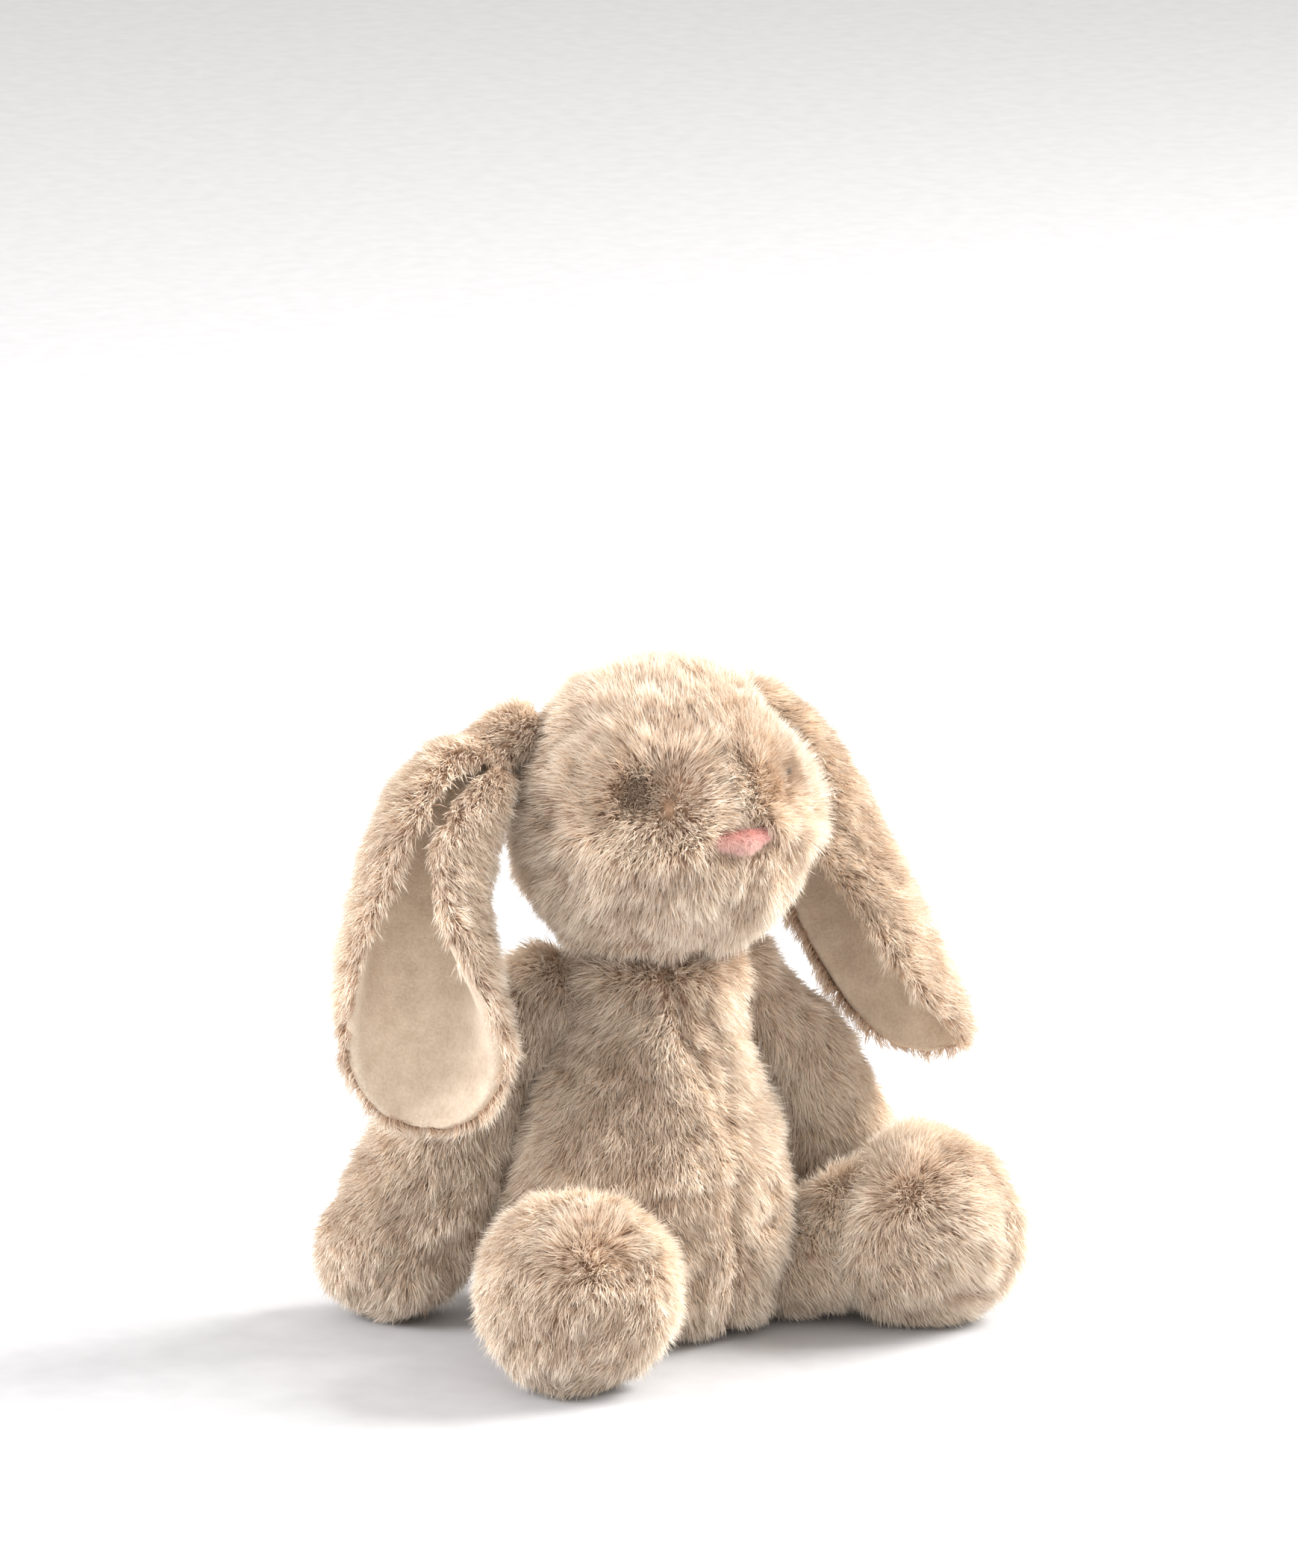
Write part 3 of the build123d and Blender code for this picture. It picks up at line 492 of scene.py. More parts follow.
def noise_texture(tree, scale, detail=3.0):
    """Noise in the object's own space, with features about 1/scale metres across."""
    place = tree.nodes.new("ShaderNodeTexCoord")
    texture = tree.nodes.new("ShaderNodeTexNoise")
    texture.inputs["Scale"].default_value = scale
    texture.inputs["Detail"].default_value = detail
    texture.inputs["Roughness"].default_value = 0.55
    tree.links.new(place.outputs["Object"], texture.inputs["Vector"])
    return texture.outputs["Fac"]


def mottle(tree, shader, scale, detail, dark, light):
    """Colours the shader between two tones by noise."""
    tone = ramp(tree, noise_texture(tree, scale, detail), [(0.3, dark), (0.7, light)])
    tree.links.new(tone, shader.inputs["Base Color"])


def add_bump(tree, shader, scale, detail, strength, distance):
    """Fine relief from noise; the distance is in metres."""
    node = tree.nodes.new("ShaderNodeBump")
    node.inputs["Strength"].default_value = strength
    node.inputs["Distance"].default_value = distance
    tree.links.new(noise_texture(tree, scale, detail), node.inputs["Height"])
    tree.links.new(node.outputs["Normal"], shader.inputs["Normal"])


def fur_material(name, root, middle, tip, dark, light):
    """Fur colour: darker roots to light tips along each strand, partly the plush's own tipped colour
    and partly painted shade deep in the pile; darker or lighter by tuft, with painted light and shade in the
    tuft tone.
    """
    material, tree, shader = new_material(
        name, roughness=0.75, specular=0.25, sheen=0.25, sheen_tint=srgb(255, 240, 222)
    )
    uv = tree.nodes.new("ShaderNodeUVMap")
    uv.uv_map = "OFBake"
    split = tree.nodes.new("ShaderNodeSeparateXYZ")
    tree.links.new(uv.outputs["UV"], split.inputs["Vector"])
    # Darker roots: partly the plush's own tipped colour, partly painted shade deep in the pile.
    root_to_tip_colour_and_shade = ramp(tree, split.outputs["Y"], [(0.0, root), (0.45, middle), (1.0, tip)])
    # Tuft tone: random tone plus painted light on proud tufts and ridges and painted shade in the eye
    # hollows and seam.
    tuft_tone_and_painted_light = ramp(tree, split.outputs["X"], [(0.1, dark), (0.9, light)])
    colour = mix_colour(tree, 1.0, root_to_tip_colour_and_shade, tuft_tone_and_painted_light, "MULTIPLY")
    tree.links.new(colour, shader.inputs["Base Color"])
    return material


def backing_material(name, colour, dark):
    """Knitted backing under the fur, and the pocket's lining, with a fine grain."""
    material, tree, shader = new_material(name, roughness=0.95, specular=0.1)
    mottled = ramp(tree, noise_texture(tree, 900), [(0.35, dark), (0.65, colour)])
    tree.links.new(mottled, shader.inputs["Base Color"])
    add_bump(tree, shader, 1800, 2, 0.5, 0.0004)
    return material


def velour_material():
    """Short-pile lining: fine dense nap, with soft lighter and darker patches of painted sheen
    and painted shade of soft folds.
    """
    material, tree, shader = new_material(
        "ear_velour_cloth", roughness=0.9, specular=0.2, sheen=0.5, sheen_tint=srgb(255, 246, 232)
    )
    # Painted sheen and painted fold shade: broad lighter and darker patches.
    painted_sheen_and_fold_shade = ramp(
        tree, noise_texture(tree, 90, 4), [(0.3, srgb(204, 185, 164)), (0.7, srgb(226, 209, 188))]
    )
    nap = ramp(tree, noise_texture(tree, 850, 3), [(0.35, (0.3, 0.3, 0.3)), (0.65, (0.66, 0.66, 0.66))])
    colour = mix_colour(tree, 0.5, painted_sheen_and_fold_shade, nap, "SOFT_LIGHT")
    tree.links.new(colour, shader.inputs["Base Color"])
    add_bump(tree, shader, 800, 4, 0.7, 0.0009)
    return material


def nose_material():
    """Pink short-pile cloth with a fine mottle."""
    material, tree, shader = new_material("nose_cloth", roughness=0.85, specular=0.2, sheen=0.3)
    mottle(tree, shader, 500, 3, srgb(236, 180, 174), srgb(250, 212, 204))
    add_bump(tree, shader, 1800, 2, 0.5, 0.0004)
    return material


def moulded_material(name, colour, roughness, metallic):
    """Moulded plastic or metal with slight mottling and a fine surface grain."""
    material, tree, shader = new_material(name, roughness=roughness, specular=0.5, metallic=metallic)
    darker = tuple(channel * 0.86 for channel in colour)
    mottle(tree, shader, 220, 4, darker, colour)
    add_bump(tree, shader, 1400, 2, 0.15, 0.0002)
    return material


# Each slot's colour, roughness and how metallic it is.
INNER_FINISHES = {
    "box_plastic": (srgb(236, 234, 228), 0.42, 0.0),
    "gear_plastic": (srgb(222, 206, 182), 0.45, 0.0),
    "frame_plastic": (srgb(86, 90, 98), 0.5, 0.0),
    "dark_plastic": (srgb(38, 38, 42), 0.38, 0.0),
    "steel": (srgb(190, 192, 196), 0.3, 1.0),
    "board_green": (srgb(28, 92, 54), 0.4, 0.0),
    "cell_label": (srgb(40, 82, 66), 0.25, 0.0),
    "pellet_bag": (srgb(228, 226, 218), 0.9, 0.0),
    "hook_tape": (srgb(214, 202, 184), 0.95, 0.0),
    "eye_bead": (srgb(84, 72, 62), 0.7, 0.0),
}


def finish_inner_parts():
    """Gives every CAD node that is still drawn the material of its slot."""
    made = {slot: moulded_material(f"{slot}_finish", *finish) for slot, finish in INNER_FINISHES.items()}
    for subpart in frame["record"]["subparts"]:
        node, slot = subpart["node"], subpart["material_slot"]
        if slot in made:
            mesh = bpy.data.objects[node].data
            mesh.materials.clear()
            mesh.materials.append(made[slot])


# ---- Camera, light and floor ----

CAMERA_AZIMUTH = math.radians(35.0)
CAMERA_RISE = math.radians(12.8)
CAMERA_DISTANCE = 4.0
CAMERA_RIGHT = np.array([0.819, -0.574, 0.0])
CAMERA_TARGET = (0.0258, 0.0409, 0.2123)
CAMERA_LENS = 269.0
CAMERA_SENSOR = 36.0
LIGHT_TARGET = (0, 0, 0.14)
FLOOR_REACH = 6.0
WORLD_COLOUR = srgb(226, 223, 220)
WORLD_STRENGTH = 1.38


def add_camera():
    across = math.cos(CAMERA_RISE)
    back = Vector((-math.sin(CAMERA_AZIMUTH) * across, -math.cos(CAMERA_AZIMUTH) * across,
                   math.sin(CAMERA_RISE)))
    data = bpy.data.cameras.new("camera")
    data.lens = CAMERA_LENS
    data.sensor_fit = "HORIZONTAL"
    data.sensor_width = CAMERA_SENSOR
    data.clip_end = 50
    camera = add_object("camera", data)
    camera.location = Vector(CAMERA_TARGET) + back * CAMERA_DISTANCE
    camera.rotation_euler = (math.pi / 2 - CAMERA_RISE, 0, -CAMERA_AZIMUTH)
    bpy.context.scene.camera = camera


def add_area_light(name, direction, distance, size, power, colour):
    """Square light that looks at the toy's middle from a direction; metres and watts."""
    data = bpy.data.lights.new(name, "AREA")
    data.shape = "SQUARE"
    data.size = size
    data.energy = power
    data.color = colour
    light = add_object(name, data)
    heading = Vector(direction).normalized()
    light.location = Vector(LIGHT_TARGET) + heading * distance
    light.rotation_euler = heading.to_track_quat("Z", "Y").to_euler()


def add_floor():
    material, tree, shader = new_material("floor_cloth", roughness=0.95, specular=0.1)
    mottle(tree, shader, 60, 3, srgb(184, 184, 186), srgb(190, 190, 192))
    reach = FLOOR_REACH
    corners = [(-reach, -reach, 0), (reach, -reach, 0), (reach, reach, 0), (-reach, reach, 0)]
    mesh = bpy.data.meshes.new("floor")
    mesh.from_pydata(corners, [], [(0, 1, 2, 3)])
    mesh.materials.append(material)
    add_object("floor", mesh)


def add_lights():
    world = bpy.data.worlds.new("studio")
    world.use_nodes = True
    bpy.context.scene.world = world
    backdrop = world.node_tree.nodes["Background"]
    backdrop.inputs["Color"].default_value = (*WORLD_COLOUR, 1)
    backdrop.inputs["Strength"].default_value = WORLD_STRENGTH
    add_area_light("key", (0.88, -0.25, 0.6), 3.2, 1.7, 265.0, (1.0, 0.985, 0.965))
    add_area_light("back_left", (-0.85, 0.3, 0.5), 3.0, 1.4, 95.0, (0.99, 0.985, 1.0))


# ---- Body ----

# Half section of the sewn body, as (radius, height) pairs.
TORSO_SEAT = [(4.0, 1.0), (24.0, 1.0)]
TORSO_SIDES = [
    (42.0, 0.0), (55.0, 9.0), (61.5, 25.0), (64.0, 46.0),
    (60.5, 76.0), (50.0, 105.0), (41.0, 130.0), (37.0, 148.0),
]
TORSO_NECK = [(24.0, 155.0), (10.0, 158.0)]
PANEL_SPLIT_HEIGHT = 70.0
FRONT_SEAM_DEPTH = 2.2
FRONT_SEAM_WIDTH = 1.8
FAR_AWAY = 1000.0
SLUMP_DIRECTION = -CAMERA_RIGHT
SLUMP_HEIGHTS = (0, 25, 60, 95, 125, 150)
SLUMP = (0, 4, 9, 11, 5, 0)
SEAM_HEIGHTS = (37, 68, 89, 110, 132, 155)
SEAM_X = (2.0, 5.5, 5.0, -3.0, -11.0, -13.0)
opening_low, opening_high = node_box("back_flap")
OPENING_HALF_WIDTH = opening_high[0] + 0.5
OPENING_BOTTOM = opening_low[2] - 1.5
OPENING_TOP = opening_high[2] + 0.5


def torso_profile():
    """(radius, height) of the sewn skin, a fur's depth inside the CAD shape."""
    widest = max(radius for radius, height in TORSO_SIDES)
    scale = node_box("torso_plush")[1][0] / widest
    sides = [(radius * scale - SKIN_DEPTH, height + 1.0) for radius, height in TORSO_SIDES]
    return TORSO_SEAT + sides + TORSO_NECK


def front_seam_x(points):
    """The front seam leans towards the toy's right on the chest."""
    return np.interp(points[:, 2], SEAM_HEIGHTS, SEAM_X)


def slump(points):
    """How far the stuffed front settles towards the toy's right side."""
    facing = unit(points * [1, 1, 0]) @ -SLUMP_DIRECTION
    distance = np.interp(points[:, 2], SLUMP_HEIGHTS, SLUMP) * smoothstep(-0.2, 0.9, facing)
    return distance[:, None] * SLUMP_DIRECTION


def in_opening(points):
    """True at points of the skin that the back flap covers."""
    return (
        (np.abs(points[:, 0]) < OPENING_HALF_WIDTH)
        & (points[:, 2] > OPENING_BOTTOM)
        & (points[:, 2] < OPENING_TOP)
        & (points[:, 1] > 20)
    )


def shaped_torso():
    """Lathed skin with soft lumps, a groove along the front seam and the slump."""
    skin = lathe_skin(spline_through(torso_profile(), 90), 132)
    points = skin.points
    in_front = smoothstep(10, -30, points[:, 1])
    behind = smoothstep(10, 30, points[:, 1])
    seam = bell(points[:, 0] - front_seam_x(points), FRONT_SEAM_WIDTH) * in_front
    outward = unit(points * [1, 1, 0])
    lumps = (1.6 * noise(points, 34, 5) + 0.7 * noise(points, 14, 6)) * (1 - behind)
    sides = smoothstep(4, 14, points[:, 2])
    points = points + outward * ((lumps - FRONT_SEAM_DEPTH * seam) * sides)[:, None]
    return Skin(points + slump(points), skin.quads)


def from_front_seam(points):
    """Sideways distance of points on the slumped body from its front seam."""
    upright = points - slump(points)
    return np.where(upright[:, 1] < 0, upright[:, 0] - front_seam_x(upright), FAR_AWAY)


def body_comb(points, normals):
    """Belly fur lies down and a little away from the front seam."""
    offset = from_front_seam(points)
    down = np.tile([0.1, 0.0, -1.0], (len(points), 1))
    down[:, 0] += 0.5 * np.sign(offset) * bell(offset, 6)
    return down


def body_length(points):
    seam = bell(from_front_seam(points), 2.2)
    at_seat = 0.3 + 0.7 * smoothstep(1.5, 12, points[:, 2])
    return (1 - 0.4 * seam) * at_seat


def body_lean(points):
    return LEAN - 26 * smoothstep(132, 152, points[:, 2])


def body_seam_painted_shade(points):
    # Painted shade along the groove of the front seam.
    return -0.14 * bell(from_front_seam(points), 1.6)


def build_body(fur, backing):
    skin = shaped_torso().keep(lambda middle: ~in_opening(middle))
    stuffed_object("body_skin", skin, backing, "torso", "torso_plush")
    coat = Coat(body_comb, length=body_length, lean=body_lean, shade=body_seam_painted_shade)
    furred = skin.keep(lambda middle: middle[:, 2] > 1.5)
    fur_panels("body", "front", furred, coat, "torso", fur, 0, PANEL_SPLIT_HEIGHT, 1)


def back_surface(x, z, inset):
    """Point of the body's back at x and z, inset from the skin."""
    radii, heights = np.array(torso_profile()).T
    radius = np.interp(z, heights, radii) - inset
    return np.stack([x, np.sqrt(np.maximum(radius**2 - x**2, 1)), z], axis=1)


def back_panel(half_width, bottom, top, outer_inset, inner_inset):
    """Thin padded panel that follows the body's back, closed at its edges, and its outer side."""
    rows, columns = 28, 26
    x, z = np.meshgrid(np.linspace(-half_width, half_width, columns), np.linspace(bottom, top, rows))
    x, z = x.ravel(), z.ravel()
    edge = np.minimum(half_width - np.abs(x), np.minimum(z - bottom, top - z))
    tuck = 0.9 * (1 - smoothstep(0, 3, edge))
    surface = back_surface(x, z, 0)
    outward = unit(surface * [1, 1, 0])
    outer = surface - outward * (outer_inset + tuck)[:, None]
    inner = surface - outward * (inner_inset - tuck)[:, None]
    grid = grid_quads(rows, columns, closed=False)
    count = rows * columns
    border = list(range(columns))
    border += [row * columns + columns - 1 for row in range(1, rows)]
    border += [(rows - 1) * columns + i for i in range(columns - 2, -1, -1)]
    border += [row * columns for row in range(rows - 2, 0, -1)]
    rim = [(b, a, a + count, b + count) for a, b in zip(border, border[1:] + border[:1])]
    quads = np.concatenate([grid[:, ::-1], grid + count, np.array(rim)])
    return Skin(np.concatenate([outer, inner]), quads), Skin(outer, grid[:, ::-1])


def build_flap(fur, lining):
    half_width = opening_high[0] - 0.6
    panel, outer = back_panel(half_width, opening_low[2] + 0.5, opening_high[2], 0.6, 3.4)
    stuffed_object("flap_panel", panel, lining, "flap", "back_flap")
    fur_object("flap_fur", outer, Coat(body_comb), "flap", fur, 8)


def build_pocket(lining):
    """Cloth walls from the edge of the back opening in to the sound box."""
    box_rear = node_box("sound_box_rear")[1][1]
    corners = [
        (-OPENING_HALF_WIDTH, OPENING_BOTTOM), (OPENING_HALF_WIDTH, OPENING_BOTTOM),
        (OPENING_HALF_WIDTH, OPENING_TOP), (-OPENING_HALF_WIDTH, OPENING_TOP),
    ]
    steps, depth_steps = 16, 7
    ring = []
    for start, end in zip(corners, corners[1:] + corners[:1]):
        for i in range(steps):
            ring.append(np.array(start) + (np.array(end) - np.array(start)) * i / steps)
    ring = np.array(ring)
    skin_y = back_surface(ring[:, 0], ring[:, 1], 0.2)[:, 1]
    rows = []
    for i in range(depth_steps):
        share = i / (depth_steps - 1)
        y = skin_y + (box_rear - skin_y) * share
        bulge = 1 + 0.012 * np.sin(np.pi * share)
        rows.append(np.stack([ring[:, 0] * bulge, y, ring[:, 1]], axis=1))
    walls = Skin(np.concatenate(rows), grid_quads(depth_steps, len(ring), closed=True))
    cloth_object("battery_pocket", walls, lining, "torso")


# ---- Head ----

# Places on the face, in degrees to the side and up from straight ahead.
EYE_AZIMUTH = 43.5
EYE_RISE = 17.8
WHORL_AZIMUTH = 28.0
WHORL_RISE = 13.0
RIDGE_AZIMUTH = 36.5
RIDGE_RISE = 29.0
RIDGE_RADIUS = 37.0

EYE_HOLLOW = 10.5
EYE_FUR_SINK = {"right": 4.2, "left": 5.6}
EYE_FUR_RADII = (3.9, 3.9, 6.6)

# Rises and hollows: height in millimetres and width as a share of the head's radius.
MUZZLE_DIRECTION = unit(np.array([0.0, -0.98, -0.2]))
MUZZLE_BUMP = (7.5, 0.36)
CHEEK_DIRECTION = np.array([0.78, -0.45, -0.42])
CHEEK_BUMP = (3.2, 0.38)
CROWN_DIRECTION = unit(np.array([0.15, -0.1, 1.0]))
CROWN_BUMP = (3.0, 0.22)
EYE_DIMPLE = (-2.0, 0.16)
DART_START = np.array([0.8, -0.05, 0.52])
DART_RUN = np.array([-0.32, -0.28, 0.3])
DART_DIMPLE = (-1.6, 0.06)
CHEEK_RIDGE_HEIGHT = 1.6

NOSE_DIRECTION = unit(np.array([0.0, -0.995, -0.02]))
HEAD_STRETCH = np.array([1.04, 1.0, 1.045])
HEAD_DROP = np.array([0, 0, 2.5])
FACE_BACK_Y = -5.0


def face_direction(side, azimuth, rise):
    azimuth, rise = math.radians(azimuth), math.radians(rise)
    return np.array([
        side_sign(side) * math.sin(azimuth) * math.cos(rise),
        -math.cos(azimuth) * math.cos(rise),
        math.sin(rise),
    ])


def eye_direction(side):
    return face_direction(side, EYE_AZIMUTH, EYE_RISE)


def raised(way, direction, shape):
    """Height that a rise or hollow adds along each way out from the head's centre."""
    height, width = shape
    return height * bump(way, direction, width)


def shaped_head():
    """Ball with a muzzle, cheeks, crown, eye dimples, a sewn dart over each brow and lumps."""
    radius = HEAD_RADIUS - SKIN_DEPTH
    skin = ball_skin(np.zeros(3), (1, 1, 1), rows=110, columns=160)
    way = unit(skin.points)
    reach = radius * np.ones(len(way))
    reach += raised(way, MUZZLE_DIRECTION, MUZZLE_BUMP)
    for side in SIDES:
        mirror = [side_sign(side), 1, 1]
        reach += raised(way, unit(CHEEK_DIRECTION * mirror), CHEEK_BUMP)
        reach += raised(way, eye_direction(side), EYE_DIMPLE)
        for share in np.linspace(0, 1, 7):
            reach += raised(way, unit((DART_START + DART_RUN * share) * mirror), DART_DIMPLE)
    reach += 1.6 * noise(way * radius, 36, 21) + 0.7 * noise(way * radius, 15, 22)
    reach += raised(way, CROWN_DIRECTION, CROWN_BUMP)
    reach += CHEEK_RIDGE_HEIGHT * cheek_ridge(HEAD_CENTRE + way * HEAD_RADIUS, -2.0)
    points = HEAD_CENTRE + way * reach[:, None] * HEAD_STRETCH - HEAD_DROP
    return Skin(points, skin.quads)


def face_distance(points, azimuth, rise):
    """Distance over the head from the nearer of a pair of places on the face."""
    way = unit(points - HEAD_CENTRE)
    reaches = []
    for side in SIDES:
        place = face_direction(side, azimuth, rise)
        reaches.append(np.arccos(np.clip(way @ place, -1, 1)) * HEAD_RADIUS)
    return np.minimum(*reaches)


def head_comb(points, normals):
    """Fur spreads away from a whorl between each eye and the nose."""
    share = smoothstep(9, -9, points[:, 0])[:, None]
    away = np.zeros_like(points)
    for side, weight in (("right", share), ("left", 1 - share)):
        whorl = HEAD_CENTRE + face_direction(side, WHORL_AZIMUTH, WHORL_RISE) * HEAD_RADIUS
        away += unit(points - whorl) * weight
    return away + np.array([0, 0, -0.3])


def head_length(points):
    """Fur is short at the nose, in the eye hollows and at the whorls."""
    nose_shape = [0.7, 1, 1]
    way = unit(points - HEAD_CENTRE)
    at_nose = 0.72 * bump(way * nose_shape, NOSE_DIRECTION * nose_shape, 0.12)
    at_eye = 0.25 * smoothstep(EYE_HOLLOW, EYE_HOLLOW * 0.5, face_distance(points, EYE_AZIMUTH, EYE_RISE))
    at_whorl = 0.5 * smoothstep(20, 4, face_distance(points, WHORL_AZIMUTH, WHORL_RISE))
    short = np.maximum(np.maximum(at_nose, at_eye), at_whorl)
    return (1 - short) * (1 + 0.35 * cheek_ridge(points, -2.0))


def cheek_ridge(points, offset):
    """1 along an arc that runs down each cheek and under the eye, moved outward by an offset."""
    distance = face_distance(points, RIDGE_AZIMUTH, RIDGE_RISE) + 5 * noise(points, 22, 61)
    ridge = bell(distance - RIDGE_RADIUS - offset, 3.0)
    low = smoothstep(HEAD_CENTRE[2] + 30, HEAD_CENTRE[2] + 14, points[:, 2])
    return ridge * low * smoothstep(6, 18, np.abs(points[:, 0]))


def head_lean(points):
    """Fur stands up at the whorls, round the eyes and along the cheek ridges."""
    at_whorl = smoothstep(22, 2, face_distance(points, WHORL_AZIMUTH, WHORL_RISE))
    at_eye = smoothstep(EYE_HOLLOW * 1.6, EYE_HOLLOW * 0.6, face_distance(points, EYE_AZIMUTH, EYE_RISE))
    upright = np.maximum(30 * at_whorl, 40 * at_eye)
    return LEAN - upright - 22 * cheek_ridge(points, -2.0) + 14 * cheek_ridge(points, 6.0)


def head_shade(points):
    """Painted shade darkens the fur in the eye hollows; painted light lightens it along the cheek ridges,
    with a painted shadow in the band just beyond them.
    """
    eye_reach = face_distance(points, EYE_AZIMUTH, EYE_RISE)
    # Painted shade in the eye hollows.
    eye_hollow_painted_shade = smoothstep(EYE_HOLLOW, EYE_HOLLOW * 0.35, eye_reach)
    at_whorl = smoothstep(18, 6, face_distance(points, WHORL_AZIMUTH, WHORL_RISE))
    # Painted light along each cheek ridge and a painted shadow in the band just beyond it.
    ridge = 0.3 * cheek_ridge(points, -2.0) - 0.25 * cheek_ridge(points, 6.0)
    return ridge - 0.8 * eye_hollow_painted_shade - 0.2 * at_whorl


def build_head(fur, backing):
    skin = shaped_head()
    stuffed_object("head_skin", skin, backing, "head", "head_plush")
    coat = Coat(head_comb, length=head_length, lean=head_lean, shade=head_shade, wander=26)
    fur_panels("head", "face", skin, coat, "head", fur, FACE_BACK_Y, HEAD_CENTRE[2], 11)


def build_eye_hollow(side, fur):
    """Short dark fur in the hollow over each eye bead: dark partly for the bead under it
    and partly as painted shade in the hollow.
    """
    direction = eye_direction(side)
    middle = HEAD_CENTRE + direction * (HEAD_RADIUS - EYE_FUR_SINK[side])
    dome = ball_skin(middle, EYE_FUR_RADII, 40, 60)
    dome = dome.keep(lambda middles: (middles - middle) @ direction > 0.8)
    coat = Coat(one_way(0.2 * side_sign(side), 0.0, -1.0), lean=constant(42), wander=30)
    seed = 110 + int(side_sign(side))
    fur_object(f"eye_fur_{side}", dome, coat, "head", fur, seed, pile=3.4, density=4.0, width=0.26)


NOSE_EXTRA_HALF_WIDTH = 5.0
NOSE_EXTRA_HALF_HEIGHT = 0.4
NOSE_CROWN = 4.6


def nose_skin(centre, half_width, half_height, front):
    """Rounded three-cornered pad, wide along its top, from its middle out to its edge."""
    rings, spokes = 14, 48
    turn = np.linspace(0, 2 * np.pi, spokes, endpoint=False)
    below, above = np.clip(-np.sin(turn), 0, 1), np.clip(np.sin(turn), 0, 1)
    outline_x = half_width * np.cos(turn) * (1 - 0.45 * below)
    outline_z = half_height * (0.6 * above**0.7 - below)
    rows = []
    for i in range(rings):
        share = math.sin(math.pi / 2 * i / (rings - 1))
        crown = math.cos(math.pi / 2 * share) ** 0.6
        x, z = outline_x * share, outline_z * share
        sag = (x / 30) ** 2 * 9
        y = front + 4.0 - NOSE_CROWN * crown + sag
        rows.append(np.stack([centre[0] + x, y, centre[2] + z], axis=1))
    return Skin(np.concatenate(rows), grid_quads(rings, spokes, closed=True)[:, ::-1])


def build_nose(material, fuzz):
    """Pink pad with short fuzz that is a deeper pink along its top."""
    low, high = node_box("nose")
    centre = (low + high) / 2
    half_width = (high[0] - low[0]) / 2 + NOSE_EXTRA_HALF_WIDTH
    half_height = (high[2] - low[2]) / 2 + NOSE_EXTRA_HALF_HEIGHT
    skin = nose_skin(centre, half_width, half_height, low[1])
    stuffed_object("nose_pad", skin, material, "head", "nose")
    coat = Coat(
        one_way(0.0, 0.0, -1.0), lean=constant(40), wander=30,
        shade=lambda points: 0.35 - 0.7 * smoothstep(centre[2], centre[2] + half_height, points[:, 2]),
    )
    fur_object(
        "nose_fuzz", skin, coat, "head", fuzz, 90, pile=3.6, density=3.0, width=0.22
    )


# ---- Ears ----

# From root to tip, in millimetres from the ear shaft's middle: middle of the wall at the bottom
# of the trough, direction along the ear, direction the trough opens, width of the lining round
# the trough, half angle it curls through, wall thickness, and how far the section has changed
# from the round root (0) to the trough (1).
EARS = {
    "right": [
        ((-46, 0, 0), (-1, 0, 0), (0, -0.5, -0.87), 44, 130, 14, 0.0),
        ((-57.5, 0.2, -0.2), (-1, 0.03, -0.1), (0, -0.5, -0.87), 44, 130, 14, 0.0),
        ((-67, 1, -4.5), (-0.8, 0.1, -0.55), (-0.15, -0.65, -0.6), 46, 130, 14, 0.15),
        ((-75, 3, -15), (-0.62, 0.1, -0.8), (-0.5, -0.75, 0.2), 54, 135, 14, 0.6),
        ((-87, 3, -40), (-0.3, 0, -0.95), (-0.7, -0.68, 0.2), 74, 150, 13, 1.0),
        ((-93, 1, -71), (-0.13, -0.07, -1), (-0.72, -0.68, 0.1), 86, 127, 12, 1.0),
        ((-96.5, -2.5, -97), (-0.12, -0.12, -1), (-0.68, -0.73, 0.08), 82, 98, 12, 1.0),
        ((-100.5, -6.5, -122), (-0.2, -0.13, -1), (-0.62, -0.78, 0), 72, 68, 11, 1.0),
        ((-105.5, -10, -140), (-0.3, -0.15, -1), (-0.6, -0.8, 0), 54, 48, 9, 1.0),
        ((-109.5, -11.8, -150), (-0.35, -0.15, -1), (-0.6, -0.8, 0), 26, 30, 8, 1.0),
        ((-110.2, -12.2, -152.5), (-0.35, -0.15, -1), (-0.6, -0.8, 0), 4, 20, 7.5, 1.0),
    ],
    "left": [
        ((46, 0, 0), (1, 0, 0), (0, -0.5, -0.87), 44, 130, 14, 0.0),
        ((57.5, 0.2, -0.2), (1, 0, -0.1), (0, -0.5, -0.87), 44, 130, 14, 0.0),
        ((70, -0.5, -4), (0.82, -0.1, -0.52), (-0.5, -0.2, -0.84), 46, 130, 14, 0.15),
        ((86, -4, -16), (0.7, -0.2, -0.7), (-0.7, -0.12, -0.7), 58, 125, 14, 0.6),
        ((102, -11, -39), (0.5, -0.3, -0.8), (-0.86, -0.08, -0.5), 68, 115, 13, 1.0),
        ((113, -20, -65), (0.33, -0.36, -0.87), (-0.92, -0.06, -0.38), 74, 102, 12, 1.0),
        ((120, -31, -90), (0.26, -0.4, -0.88), (-0.92, -0.06, -0.38), 74, 92, 12, 1.0),
        ((126, -42, -114), (0.25, -0.4, -0.88), (-0.92, -0.06, -0.38), 68, 76, 11, 1.0),
        ((130, -49, -131), (0.22, -0.38, -0.9), (-0.92, -0.06, -0.38), 52, 60, 9, 1.0),
        ((132, -52.5, -141), (0.22, -0.38, -0.9), (-0.92, -0.06, -0.38), 26, 36, 8, 1.0),
        ((132.4, -53.5, -143.5), (0.22, -0.38, -0.9), (-0.92, -0.06, -0.38), 4, 20, 7.5, 1.0),
    ],
}
EAR_ROWS = 84
